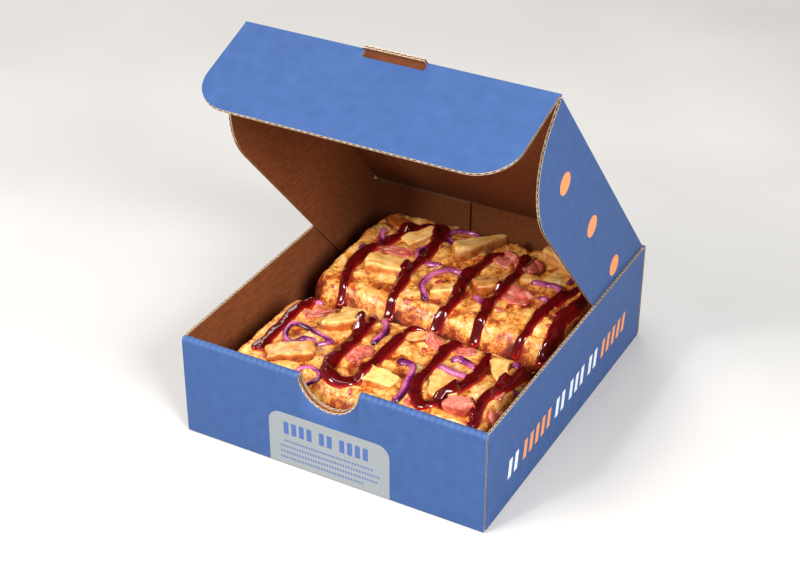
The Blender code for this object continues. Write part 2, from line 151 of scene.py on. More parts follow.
class Mixture(Pad):
    """A material being mixed. Patterns are in the piece's own metres, from their real sizes."""

    def __init__(self, tree: Tree) -> None:
        """Start with the piece's own coordinates."""
        super().__init__(tree)
        self.place = self.add("ShaderNodeTexCoord").outputs["Object"]

    def noise(self, size: float, detail: float = 2.0, place: Socket | None = None,
              **inputs: float) -> Socket:
        """Cloudy pattern from 0 to 1.

        Args:
            size: How large its patches are.
            detail: How many finer layers it has.
            place: Coordinates, or None for the piece's own.
            inputs: Its other sockets' values.

        Returns:
            The pattern.
        """
        values = {"Vector": place or self.place, "Scale": 1.0 / size, "Detail": detail, **inputs}
        return self.add("ShaderNodeTexNoise", values).outputs["Fac"]

    def attribute(self, name: str) -> Socket:
        """A number stored at the piece's points."""
        return self.add("ShaderNodeAttribute", attribute_name=name).outputs["Fac"]

    def span(self, value: Socket, low: float, high: float, to_low: float = 0.0,
             to_high: float = 1.0) -> Socket:
        """Stretch the range low to high onto another, clamped at its ends."""
        return self.add("ShaderNodeMapRange", {
            "Value": value, "From Min": low, "From Max": high, "To Min": to_low,
            "To Max": to_high}).outputs["Result"]

    def ramp(self, value: Socket, *stops: tuple[float, str]) -> Socket:
        """Colour by a number, from positions and their hex colours."""
        node = self.add("ShaderNodeValToRGB", {"Fac": value})
        elements = node.color_ramp.elements
        while len(elements) < len(stops):
            elements.new(0.5)
        for element, (position, colour) in zip(elements, stops):
            element.position, element.color = position, linear(colour)
        return node.outputs["Color"]

    def weigh(self, share: float, first: Socket, second: Socket) -> Socket:
        """Weighted mean of two numbers; share is the second one's."""
        return self.add("ShaderNodeMix", {0: share, 2: first, 3: second}).outputs[0]

    def blend(self, share: Socket, base: Socket, over: str) -> Socket:
        """Lay a hex colour over another colour by a share."""
        return self.add("ShaderNodeMix", {0: share, 6: base, 7: linear(over)},
                        data_type="RGBA").outputs[2]

    def bump(self, strength: float, depth: float, height: Socket,
             under: Socket | None = None) -> Socket:
        """Normal of a rough surface, on top of another rough surface if there is one."""
        values = {"Strength": strength, "Distance": depth, "Height": height}
        if under is not None:
            values["Normal"] = under
        return self.add("ShaderNodeBump", values).outputs["Normal"]


def new_object(name: str, mesh: bpy.types.Mesh) -> Thing:
    """Link a mesh into the scene as an object at the origin."""
    thing = bpy.data.objects.new(name, mesh)
    bpy.context.scene.collection.objects.link(thing)
    return thing


def bake_modifiers(thing: Thing) -> None:
    """Turn an object with modifiers into a plain mesh.

    Args:
        thing: Object whose evaluated mesh is kept.
    """
    bpy.context.view_layer.update()
    graph = bpy.context.evaluated_depsgraph_get()
    mesh = bpy.data.meshes.new_from_object(thing.evaluated_get(graph))
    thing.modifiers.clear()
    thing.data = mesh


def hand_over(thing: Thing, body: str, slot: str, *nodes: str) -> None:
    """Fix a finished piece to its body and report it.

    Args:
        thing: The finished piece.
        body: Frame body that carries it.
        slot: The record's material slot that matches its finish; not used.
        nodes: Frame nodes that it stands for.
    """
    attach(thing, body)
    if nodes:
        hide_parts(*nodes)
    LOG.info("%s: %d faces on %s", thing.name, len(thing.data.polygons), body)


# --- finishes

class Finish:
    """A finish that makes its material once and hands it out."""

    name: str

    def material(self) -> bpy.types.Material:
        """Return the finish's material, making it on first use."""
        found = bpy.data.materials.get(self.name)
        if found is None:
            found = bpy.data.materials.new(self.name)
            found.use_nodes = True
            tree = found.node_tree
            feed(tree.nodes["Principled BSDF"], self.dress(Mixture(tree)))
        return found

    def dress(self, mix: Mixture) -> dict[str, object]:
        """Mix the finish; each one has its own way.

        Args:
            mix: The material being mixed.

        Returns:
            What feeds the surface shader, by socket name.
        """
        raise NotImplementedError


@dataclass(frozen=True)
class PrintedLiner(Finish):
    """White-top liner flexo-printed solid blue under a satin water varnish.

    The varnish gives a soft sheen; the flutes behind show as very faint ribs, and the ink
    lies a little unevenly on the paper's grain, which is drawn coarser than the real 0.1 mm.
    On the crests of the rolled edge the ink is painted lighter: partly worn-off ink, partly
    painted sheen.
    """

    name: str = "printed_liner"
    ink: str = "#345184"
    worn_ink: str = "#3B598D"
    rubbed_and_sheen: str = "#6F8CC2"
    grain: float = 0.5 * MM
    cloud: float = 9 * MM
    rib_depth: float = 0.035 * MM
    grain_depth: float = 0.05 * MM

    def dress(self, mix: Mixture) -> dict[str, object]:
        """Mottle the ink, paint it lighter on the crests as worn-off ink and painted sheen, rib
        the surface along the flutes and grain it.
        """
        colour = mix.ramp(mix.noise(self.cloud, 5.0), (0.3, self.ink), (0.75, self.worn_ink))
        turns = mix.math("MULTIPLY", mix.attribute("across_flutes"), 2.0 * math.pi / FLUTE_PITCH)
        ribbed = mix.bump(0.5, self.rib_depth, mix.math("SINE", turns))
        # the lighter ink on the crests is partly worn-off ink, partly painted sheen
        return {"Base Color": mix.blend(mix.attribute("rubbed_and_sheen"), colour, self.rubbed_and_sheen),
                "Normal": mix.bump(0.25, self.grain_depth, mix.noise(self.grain, 3.0), ribbed),
                "Roughness": 0.55, "IOR": 1.45, "Specular IOR Level": 0.22}


@dataclass(frozen=True)
class KraftLiner(Finish):
    """Unbleached kraft liner: matt brown paper with darker specks.

    Its fibres are drawn three times coarser than the real 0.7 mm, so that they can be seen.
    """

    name: str = "kraft_liner"
    pale: str = "#8E4D20"
    dark: str = "#6C3411"
    fibre: float = 2.2 * MM
    speck: float = 0.9 * MM
    speck_depth: float = 0.06 * MM

    def dress(self, mix: Mixture) -> dict[str, object]:
        """Mottle the brown, draw the fibres and make it matt."""
        long_way = mix.add("ShaderNodeMapping", {"Vector": mix.place, "Scale": (1.0, 0.25, 1.0)})
        fibre = mix.noise(self.fibre, 8.0, long_way.outputs["Vector"], Roughness=0.7)
        return {"Base Color": mix.ramp(fibre, (0.32, self.dark), (0.62, self.pale)),
                "Normal": mix.bump(0.3, self.speck_depth, mix.noise(self.speck)),
                "Roughness": 0.88}


@dataclass(frozen=True)
class CutPaper(Finish):
    """Bare fibres of a cut paper edge, or a dry crumb: matt, a little uneven in tone."""

    name: str
    pale: str
    dark: str
    grain: float = 0.7 * MM

    def dress(self, mix: Mixture) -> dict[str, object]:
        """Speckle the bare surface."""
        grain = mix.noise(self.grain, 4.0)
        return {"Base Color": mix.ramp(grain, (0.35, self.dark), (0.6, self.pale)),
                "Roughness": 0.9}


@dataclass(frozen=True)
class SpotInk(Finish):
    """One spot colour of flexo ink: thin, matt, slightly mottled where the liner drank it."""

    name: str
    ink: str
    slot: str
    mottle: float = 1.6 * MM

    def dress(self, mix: Mixture) -> dict[str, object]:
        """Lay the ink with a slight mottle."""
        shade = mix.span(mix.noise(self.mottle), 0.0, 1.0, 0.9, 1.06)
        ink = mix.add("ShaderNodeHueSaturation", {"Color": linear(self.ink), "Value": shade})
        return {"Base Color": ink.outputs["Color"], "Roughness": 0.6}


@dataclass(frozen=True)
class BakedCheese(Finish):
    """Mozzarella melted over puffy dough, baked golden and filmed with its own fat.

    The fat gives small wet highlights. Tone runs from milky curds through golden and orange to
    toasted brown, and follows both the relief and a random mottle; in the grooves round the
    slabs' sides it also carries painted shade.
    """

    name: str = "baked_cheese"
    tones: tuple[tuple[float, str], ...] = (
        (0.28, "#FDE6B8"), (0.42, "#F7C474"), (0.53, "#ECA64C"), (0.61, "#D07A2E"),
        (0.69, "#A2441A"), (0.82, "#6A240E"), (0.97, "#361006"))
    mottle_gain: float = 1.8
    ooze: str = "#A62A12"
    patch: float = 12 * MM
    curd: float = 3.8 * MM
    grain: float = 1.1 * MM
    stain: float = 6.5 * MM
    blister_cell: float = 5.2 * MM
    curd_share: float = 0.56
    grain_share: float = 0.18
    heat_and_shade_share: float = 0.62
    neutral_heat: float = 0.35

    def dress(self, mix: Mixture) -> dict[str, object]:
        """Mix patches, curds and heat, which holds painted shade in the side grooves, into one
        tone, then stain it and wet it.
        """
        patch = mix.noise(self.patch, 4.0)
        curd = mix.noise(self.curd, 7.0, Roughness=0.66, Distortion=0.5)
        grain = mix.noise(self.grain, 4.0)
        mottle = mix.weigh(self.grain_share, mix.weigh(self.curd_share, patch, curd), grain)
        spread = mix.math("MULTIPLY_ADD", mottle, self.mottle_gain, 0.5 - 0.5 * self.mottle_gain)
        heat = mix.math("SUBTRACT", mix.attribute("toast"), self.neutral_heat)
        tone = mix.math("MULTIPLY_ADD", heat, self.heat_and_shade_share, spread)
        cell = mix.add("ShaderNodeTexVoronoi", {"Vector": mix.place,
                                                "Scale": 1.0 / self.blister_cell})
        ragged = mix.math("MULTIPLY_ADD", grain, 0.9, cell.outputs["Distance"])
        hot = mix.span(patch, 0.44, 0.62, 0.05, 0.3)
        blistered = mix.math("MULTIPLY_ADD", mix.span(ragged, 0.66, 0.5), hot, tone)
        seep = mix.span(mix.noise(self.stain, 5.0, Roughness=0.6), 0.46, 0.6)
        soaked = mix.math("MULTIPLY", seep, mix.attribute("ooze"))
        blisters = mix.bump(0.6, 0.6 * MM, curd)
        return {"Base Color": mix.blend(soaked, mix.ramp(blistered, *self.tones), self.ooze),
                "Normal": mix.bump(0.5, 0.25 * MM, grain, blisters),
                "Roughness": mix.span(curd, 0.35, 0.65, 0.3, 0.55),
                "Coat Weight": 0.22, "Coat Roughness": 0.18, "Subsurface Weight": 0.1,
                "Subsurface Radius": (1.0, 0.55, 0.25), "Subsurface Scale": 2.0 * MM}


@dataclass(frozen=True)
class RoastMeat(Finish):
    """Roast meat: pale lean top, seared flanks, fine fibres and a thin film of juice."""

    name: str
    pale: str
    warm: str
    seared: str
    burnt: str
    streak: str
    streak_share: float
    fibre: float = 1.3 * MM
    patch: float = 6 * MM

    def dress(self, mix: Mixture) -> dict[str, object]:
        """Fade the lean into its seared edge and draw fibres and streaks."""
        patch = mix.noise(self.patch, 6.0, Roughness=0.6)
        fibre = mix.noise(self.fibre, 4.0, Distortion=0.8)
        fatty = mix.span(mix.math("ADD", fibre, mix.attribute("band")), 0.55, 0.72, 0.0,
                         self.streak_share)
        lean = mix.ramp(patch, (0.4, self.pale), (0.66, self.warm))
        heat = mix.math("MULTIPLY", mix.attribute("toast"), patch)
        sear = mix.blend(mix.span(heat, 0.06, 0.32), mix.blend(fatty, lean, self.streak),
                         self.seared)
        return {"Base Color": mix.blend(mix.span(heat, 0.42, 0.62), sear, self.burnt),
                "Normal": mix.bump(0.4, 0.3 * MM, fibre),
                "Roughness": 0.36, "Coat Weight": 0.2, "Coat Roughness": 0.15,
                "Subsurface Weight": 0.1, "Subsurface Radius": (1.0, 0.5, 0.3),
                "Subsurface Scale": 1.5 * MM}


@dataclass(frozen=True)
class OnionFlesh(Finish):
    """Softened red onion: wet pink flesh between purple skins, with fine veins."""

    name: str = "red_onion_flesh"
    flesh: str = "#D0709E"
    blush: str = "#7E2268"
    skin: str = "#2E082E"
    vein: float = 1.1 * MM

    def dress(self, mix: Mixture) -> dict[str, object]:
        """Grade from skin to flesh and draw the veins."""
        vein = mix.noise(self.vein, 4.0)
        tone = mix.math("ADD", mix.attribute("rind"), mix.math("SUBTRACT", vein, 0.5))
        return {"Base Color": mix.ramp(tone, (0.06, self.flesh), (0.4, self.blush),
                                       (0.76, self.skin)),
                "Normal": mix.bump(0.3, 0.15 * MM, vein),
                "Roughness": 0.24, "Subsurface Weight": 0.15, "Subsurface Scale": 1.2 * MM}


@dataclass(frozen=True)
class BarbecueSauce(Finish):
    """Thick barbecue sauce: dark red-brown syrup with a wet, mirror-like skin."""

    name: str = "barbecue_sauce"
    thin: str = "#AC241C"
    middle: str = "#7E0C13"
    thick: str = "#540509"
    clot: float = 16 * MM

    def dress(self, mix: Mixture) -> dict[str, object]:
        """Vary the depth of the red and keep the skin glossy."""
        body = mix.math("MULTIPLY_ADD", mix.noise(self.clot, 3.0), 0.3, mix.attribute("depth"))
        return {"Base Color": mix.ramp(body, (0.2, self.thin), (0.65, self.middle),
                                       (1.0, self.thick)),
                "Roughness": 0.1, "IOR": 1.49, "Specular IOR Level": 0.7}


@dataclass(frozen=True)
class StudioFloor(Finish):
    """Pale painted studio floor, matt, faintly clouded."""

    name: str = "studio_floor"
    pale: str = "#D2D0CD"
    shade: str = "#CAC8C5"
    cloud: float = 1.0 / 3.0

    def dress(self, mix: Mixture) -> dict[str, object]:
        """Cloud the paint faintly."""
        cloud = mix.noise(self.cloud)
        return {"Base Color": mix.ramp(cloud, (0.4, self.shade), (0.6, self.pale)),
                "Roughness": 0.85}


CHEESE = BakedCheese()
SAUCE = BarbecueSauce()
ONION = OnionFlesh()
CHICKEN_MEAT = RoastMeat("roast_chicken_meat", "#FFD484",
                         "#F0AC52", "#B2581C", "#4A1C0A", "#FFDFA4", 0.4)
BACON_MEAT = RoastMeat("smoked_bacon_meat", "#E9826C",
                       "#CA4A40", "#982C1C", "#48100E", "#F6C4A6", 0.8)
TOASTED_CRUMB = CutPaper("toasted_crumb", "#8A3E14", "#43170A", 0.8 * MM)
PEPPER_FLECK = CutPaper("pepper_fleck", "#2A1A12", "#120A08", 0.5 * MM)
BOARD_FINISHES = (PrintedLiner(), KraftLiner(), CutPaper("cut_liner_edge", "#D9CBB4", "#A98D68"),
                  CutPaper("fluting_medium", "#7A5230", "#3F2616"))
PALE_INK = SpotInk("pale_ink", "#8C9297", "pale_ink")
WHITE_INK = SpotInk("white_ink", "#DDE3EC", "pale_ink")
ORANGE_INK = SpotInk("orange_ink", "#E8935A", "orange_ink")
BLUE_INK = SpotInk("blue_ink", "#3F5E9B", "blue_board")


# --- corrugated board

def arc(centre: Point2, radius: float, start: float, end: float, steps: int) -> list[Point2]:
    """Points on an arc, with both ends.

    Args:
        centre: The arc's centre.
        radius: Its radius.
        start: First angle in degrees.
        end: Last angle in degrees.
        steps: How many chords the arc has.

    Returns:
        The points in order.
    """
    angles = [math.radians(start + (end - start) * step / steps) for step in range(steps + 1)]
    return [(centre[0] + radius * math.cos(a), centre[1] + radius * math.sin(a)) for a in angles]


def signed_area(outline: Sequence[Point2]) -> float:
    """Area of a closed outline, positive when it runs anticlockwise."""
    pairs = zip(outline, [*outline[1:], outline[0]])
    return 0.5 * sum(a[0] * b[1] - b[0] * a[1] for a, b in pairs)


def inset(outline: Sequence[Point2], distance: float) -> list[Point2]:
    """Move a closed anticlockwise outline inwards.

    Args:
        outline: The outline's points.
        distance: How far each edge moves in.

    Returns:
        The smaller outline, point for point.
    """
    result = []
    count = len(outline)
    for index in range(count):
        before, here, after = (Vector(outline[(index + shift) % count]) for shift in (-1, 0, 1))
        first = (here - before).normalized()
        second = (after - here).normalized()
        normals = Vector((-first.y, first.x)) + Vector((-second.y, second.x))
        scale = distance / max(0.35, normals.length_squared / 2.0)
        result.append((here.x + normals.x * scale, here.y + normals.y * scale))
    return result


def basis(origin: Sequence[float], along_u: Sequence[float], along_v: Sequence[float]) -> Matrix:
    """A right-handed frame from its origin and first two axes."""
    u, v = Vector(along_u), Vector(along_v)
    columns = Matrix((u, v, u.cross(v))).transposed().to_4x4()
    return Matrix.Translation(origin) @ columns


Finishes = tuple[Face, Face, Face]
INK_ONLY: Finishes = (Face.INK,) * 3
PAPER_ONLY: Finishes = (Face.PAPER_EDGE,) * 3
HAIR = 0.08 * MM  # lifts the wavy paper just clear of the board's own edge


class BoardShape:
    """Collects the layers of board panels and builds them as one mesh."""

    def __init__(self) -> None:
        """Start with nothing in it."""
        self.vertices: list[Vector] = []
        self.faces: list[list[int]] = []
        self.finishes: list[int] = []
        self.across: list[float] = []
        self.rubbed_and_sheen: list[float] = []

    def add(self, vertices: Iterable[Vector], faces: Iterable[Sequence[int]],
            finishes: Iterable[Face], across: Iterable[float],
            rubbed_and_sheen: Sequence[float] = ()) -> None:
        """Add one closed solid.

        Args:
            vertices: Its points, in the frame's axes.
            faces: Its faces, as numbers into those points.
            finishes: Each face's finish.
            across: Each point's place across the flutes.
            rubbed_and_sheen: How much lighter the ink is painted at each point, as worn-off ink
                and painted sheen on the crests, or nothing where it is whole.
        """
        start = len(self.vertices)
        self.vertices.extend(vertices)
        self.rubbed_and_sheen.extend(rubbed_and_sheen or [0.0] * (len(self.vertices) - start))
        self.faces.extend([start + index for index in face] for face in faces)
        self.finishes.extend(finish.value for finish in finishes)
        self.across.extend(across)

    def prism(self, outline: Sequence[Point2], low: float, high: float, place: Matrix,
              finishes: Finishes, flute_axis: int = 0) -> None:
        """Add a flat layer: an outline swept through the board's depth.

        Args:
            outline: Anticlockwise outline in the panel's plane.
            low: Depth of its outer face.
            high: Depth of its inner face.
            place: The panel's frame.
            finishes: Finishes of the outer face, the inner face and the edges.
            flute_axis: Which panel axis the flutes follow, 0 or 1.
        """
        count = len(outline)
        vertices = [place @ Vector((u, v, depth)) for depth in (low, high) for u, v in outline]
        faces = [list(reversed(range(count))), [count + index for index in range(count)]]
        for index in range(count):
            following = (index + 1) % count
            faces.append([index, following, count + following, count + index])
        across = [point[1 - flute_axis] for point in outline] * 2
        self.add(vertices, faces, [*finishes[:2], *finishes[2:] * count], across)

    def build(self, name: str, finishes: Sequence[Finish] = BOARD_FINISHES) -> Thing:
        """Make the mesh object.

        Args:
            name: The object's name.
            finishes: Its finishes, numbered as in Face.

        Returns:
            The new object.
        """
        mesh = bpy.data.meshes.new(name)
        mesh.from_pydata(self.vertices, [], self.faces)
        for finish in finishes:
            mesh.materials.append(finish.material())
        mesh.polygons.foreach_set("material_index", self.finishes)
        add_attribute(mesh, "across_flutes", self.across)
        add_attribute(mesh, "rubbed_and_sheen", self.rubbed_and_sheen)
        mesh.shade_smooth()
        mesh.set_sharp_from_angle(angle=math.radians(28.0))
        return new_object(name, mesh)


class FluteCuts:
    """Edges where the flutes are cut across, and the wavy paper that shows there."""

    def __init__(self) -> None:
        """Start with no edges."""
        self.points: list[Vector] = []
        self.edges: list[tuple[int, int]] = []
        self.inward: list[Vector] = []
        self.normal: list[Vector] = []

    def follow(self, outline: Sequence[Point2], flute_axis: int, depth: float, place: Matrix,
               closed: bool = True) -> None:
        """Add those edges of a panel that cross its flutes.

        Args:
            outline: The panel's anticlockwise outline.
            flute_axis: Which panel axis the flutes follow.
            depth: Depth of the board's middle.
            place: The panel's frame.
            closed: Whether the outline goes back to its first point.
        """
        count = len(outline)
        turn = place.to_3x3()
        linked = False
        for index in range(count if closed else count - 1):
            here, there = Vector(outline[index]), Vector(outline[(index + 1) % count])
            step = there - here
            if abs(step[1 - flute_axis]) < 0.3 * step.length:
                linked = False
                continue
            ends = (there,) if linked else (here, there)
            linked = True
            self.points += [place @ Vector((*end, depth)) for end in ends]
            self.inward += [turn @ Vector((-step.y, step.x, 0.0)).normalized()] * len(ends)
            self.normal += [turn @ Vector((0.0, 0.0, 1.0))] * len(ends)
            self.edges.append((len(self.points) - 2, len(self.points) - 1))

    def build(self, name: str, pitch: float, swing: float, depth: float,
              paper: float) -> Thing:
        """Run the flute tree over the edges and keep the result as a plain mesh.

        Args:
            name: The object's name.
            pitch: Distance from flute to flute.
            swing: How far the paper swings to each side of the board's middle.
            depth: How far in from the cut edge the paper shows.
            paper: Thickness of the fluting paper.

        Returns:
            The corrugated strip.
        """
        mesh = bpy.data.meshes.new(name)
        mesh.from_pydata(self.points, self.edges, [])
        for label, vectors in (("inward", self.inward), ("board_normal", self.normal)):
            layer = mesh.attributes.new(label, "FLOAT_VECTOR", "POINT")
            layer.data.foreach_set("vector", np.array(vectors, np.float32).ravel())
        strip = new_object(name, mesh)
        run_tree(strip, self.tree(), {
            "Pitch": pitch, "Swing": swing, "Depth": depth, "Paper": paper,
            "Finish": BOARD_FINISHES[Face.PAPER_EDGE.value].material()})
        return strip

    @staticmethod
    @cache
    def tree() -> Tree:
        """Build the tree that turns edges into a strip of waves; it is built once."""
        pad, given = new_tree("cut_flutes", {"Pitch": "Float", "Swing": "Float", "Depth": "Float",
                                             "Paper": "Float", "Finish": "Material"})
        curve = pad.add("GeometryNodeMeshToCurve", {"Mesh": given["Geometry"]})
        step = pad.math("DIVIDE", given["Pitch"], 9.0)
        fine = pad.add("GeometryNodeResampleCurve",
                       {"Curve": curve, "Length": step}, mode="LENGTH")
        length = pad.add("GeometryNodeSplineParameter").outputs["Length"]
        turns = pad.math("DIVIDE", length, given["Pitch"])
        wave = pad.math("COSINE", pad.math("MULTIPLY", turns, 2.0 * math.pi))
        rise = pad.math("MULTIPLY", wave, given["Swing"])
        shift = pad.scaled("board_normal", rise)
        waved = pad.add("GeometryNodeSetPosition", {"Geometry": fine, "Offset": shift})
        line = pad.add("GeometryNodeCurveToMesh", {"Curve": waved})
        sheet = pad.add("GeometryNodeExtrudeMesh",
                        {"Mesh": line, "Offset": pad.scaled("inward", given["Depth"]),
                         "Offset Scale": 1.0}, mode="EDGES").outputs["Mesh"]
        thick = pad.add("GeometryNodeExtrudeMesh",
                        {"Mesh": sheet, "Offset Scale": given["Paper"], "Individual": False},
                        mode="FACES")
        back = pad.add("GeometryNodeFlipFaces", {"Mesh": sheet})
        both = pad.add("GeometryNodeJoinGeometry", {0: thick.outputs["Mesh"]})
        feed(both, {0: back})
        welded = pad.add("GeometryNodeMergeByDistance",
                         {"Geometry": both, "Distance": 0.001 * MM})
        return end_tree(pad, welded.outputs[0])


class GeometryPad(Pad):
    """A geometry tree being filled."""

    def scaled(self, attribute: str, scale: float | Socket) -> Socket:
        """A direction stored at the points, times a number."""
        stored = self.add("GeometryNodeInputNamedAttribute", {"Name": attribute},
                          data_type="FLOAT_VECTOR").outputs["Attribute"]
        return self.add("ShaderNodeVectorMath", {0: stored, "Scale": scale},
                        operation="SCALE").outputs[0]


def new_tree(name: str, inputs: dict[str, str]) -> tuple[GeometryPad, bpy.types.NodeOutputs]:
    """Start a geometry tree that takes and gives a geometry.

    Args:
        name: The tree's name.
        inputs: Each further input's name and kind of value.

    Returns:
        The tree to fill, and the sockets that its inputs come from.
    """
    tree = bpy.data.node_groups.new(name, "GeometryNodeTree")
    for label, kind in {"Geometry": "Geometry", **inputs}.items():
        tree.interface.new_socket(label, in_out="INPUT", socket_type="NodeSocket" + kind)
    tree.interface.new_socket("Geometry", in_out="OUTPUT", socket_type="NodeSocketGeometry")
    pad = GeometryPad(tree)
    pad.add("NodeGroupOutput", name="Group Output")
    return pad, pad.add("NodeGroupInput", name="Group Input").outputs


def end_tree(pad: GeometryPad, geometry: Socket) -> Tree:
    """Realize the instances, set the finish and pass the geometry out.

    Args:
        pad: The tree to close.
        geometry: The finished geometry.

    Returns:
        The closed tree.
    """
    nodes = pad.tree.nodes
    real = pad.add("GeometryNodeRealizeInstances", {"Geometry": geometry})
    dressed = pad.add("GeometryNodeSetMaterial", {
        "Geometry": real, "Material": nodes["Group Input"].outputs["Finish"]})
    feed(nodes["Group Output"], {0: dressed})
    return pad.tree


def run_tree(thing: Thing, tree: Tree, values: dict[str, object]) -> None:
    """Run a geometry tree on an object and keep the result as its plain mesh.

    Args:
        thing: The object.
        tree: The tree.
        values: Input name to value, set by the sockets' identifiers.
    """
    modifier = thing.modifiers.new(tree.name, "NODES")
    modifier.node_group = tree
    for item in tree.interface.items_tree:
        if item.in_out == "INPUT" and item.name in values:
            modifier[item.identifier] = values[item.name]
    bake_modifiers(thing)


@dataclass(frozen=True)
class Layer:
    """One layer of the board: its depths, how far its edges lie back, and its finishes."""

    name: str
    outer: float
    inner: float
    recess: float
    finishes: Finishes


@dataclass(frozen=True)
class CorrugatedBoard:
    """E-flute board: two liners with a waved paper between them."""

    thickness: float = 1.8 * MM
    liner: float = 0.3 * MM
    paper: float = 0.22 * MM
    pitch: float = FLUTE_PITCH
    recess: float = 0.7 * MM

    def layers(self) -> tuple[Layer, Layer, Layer]:
        """The printed liner, the kraft liner and the fluting between them."""
        inner = self.thickness - self.liner
        return (Layer("printed_liner", 0.0, self.liner, 0.0,
                      (Face.INK, Face.MEDIUM, Face.PAPER_EDGE)),
                Layer("kraft_liner", inner, self.thickness, 0.0,
                      (Face.MEDIUM, Face.KRAFT, Face.PAPER_EDGE)),
                Layer("fluting", self.liner, inner, self.recess, (Face.MEDIUM,) * 3))

    def panel(self, shape: BoardShape, cuts: FluteCuts | None, outline: Sequence[Point2],
              place: Matrix, flute_axis: int) -> None:
        """Add one flat panel, printed face at depth 0 and kraft face at the board's thickness.

        Args:
            shape: Shape that the layers go into.
            cuts: Where its wavy edges are collected, or None to leave them out.
            outline: The panel's outline in its own plane.
            place: The panel's frame, its third axis pointing into the board.
            flute_axis: Which panel axis the flutes follow.
        """
        if signed_area(outline) < 0.0:
            outline = list(reversed(outline))
        for layer in self.layers():
            cut = inset(outline, layer.recess) if layer.recess else outline
            shape.prism(cut, layer.outer, layer.inner, place, layer.finishes, flute_axis)
        if cuts is not None:
            cuts.follow(inset(outline, HAIR), flute_axis, self.thickness / 2.0, place)

    def flutes(self, cuts: FluteCuts, name: str) -> Thing:
        """Make the waved paper that shows along the collected edges."""
        swing = self.thickness / 2.0 - self.liner - self.paper / 2.0
        return cuts.build(name, self.pitch, swing, self.recess, self.paper)


BOARD = CorrugatedBoard()


def bent_layer(shape: BoardShape, path: Sequence[Point2], layer: Layer,
               stations: Sequence[float], place: Matrix, heights: Sequence[float] | None = None,
               ripple: Callable[[int, float], float] | None = None) -> None:
    """Add one layer of board that is bent along a path and swept straight.

    Args:
        shape: Shape that the layer goes into.
        path: The printed face's section, with the board on the left of its direction.
        layer: Which layer of the board it is.
        stations: Places along the sweep, in order.
        place: Frame of the section, swept along its third axis.
        heights: For each path point, where the sweep ends instead of at the last station.
        ripple: Gives how far the outer face stands proud, from the path point and the station; the
            ink there is painted lighter, as worn-off ink and painted sheen.
    """
    count = len(path)
    points = [Vector(point) for point in path]
    normals = [sideways(points, index) for index in range(count)]
    vertices, across, rubbed_and_sheen = [], [], []
    for side, offset in enumerate((layer.outer, layer.inner)):
        for station in stations:
            for index, point in enumerate(points):
                lift = ripple(index, station) if ripple and side == 0 else 0.0
                spot = point + normals[index] * (offset - lift)
                reach = min(station, heights[index]) if heights else station
                vertices.append(place @ Vector((spot.x, spot.y, reach)))
                across.append(station)
                # proud crests get lighter ink: partly worn-off ink, partly painted sheen
                rubbed_and_sheen.append(min(0.75, lift * RUB_AND_SHEEN_PER_METRE))
    rows = len(stations)
    faces, kinds = [], []
    far = count * rows
    outer_finish, inner_finish, edge_finish = layer.finishes
    for row in range(rows - 1):
        for index in range(count - 1):
            a = row * count + index
            quad = [a, a + 1, a + 1 + count, a + count]
            faces.append(list(quad))
            faces.append([far + corner for corner in reversed(quad)])
            kinds += [outer_finish, inner_finish]
    for row in range(rows - 1):
        for index, flip in ((0, False), (count - 1, True)):
            a = row * count + index
            quad = [a, a + count, far + a + count, far + a]
            faces.append(list(reversed(quad)) if flip else quad)
            kinds.append(edge_finish)
    for index in range(count - 1):
        for row, flip in ((0, True), (rows - 1, False)):
            a = row * count + index
            quad = [a, a + 1, far + a + 1, far + a]
            faces.append(list(reversed(quad)) if not flip else quad)
            kinds.append(edge_finish)
    shape.add(vertices, faces, kinds, across, rubbed_and_sheen)


def turn_outwards(thing: Thing) -> None:
    """Make every closed solid of a mesh face outwards."""
    shape = bmesh.new()
    shape.from_mesh(thing.data)
    bmesh.ops.recalc_face_normals(shape, faces=shape.faces)
    shape.to_mesh(thing.data)
    shape.free()


def cut_with(thing: Thing, cutter: Thing) -> None:
    """Cut one solid out of another and drop the cutter.

    Args:
        thing: Object that is cut.
        cutter: Solid that is taken away.
    """
    modifier = thing.modifiers.new("cut", "BOOLEAN")
    modifier.operation = "DIFFERENCE"
    modifier.solver = "EXACT"
    modifier.object = cutter
    bake_modifiers(thing)
    bpy.data.objects.remove(cutter)


# --- the box

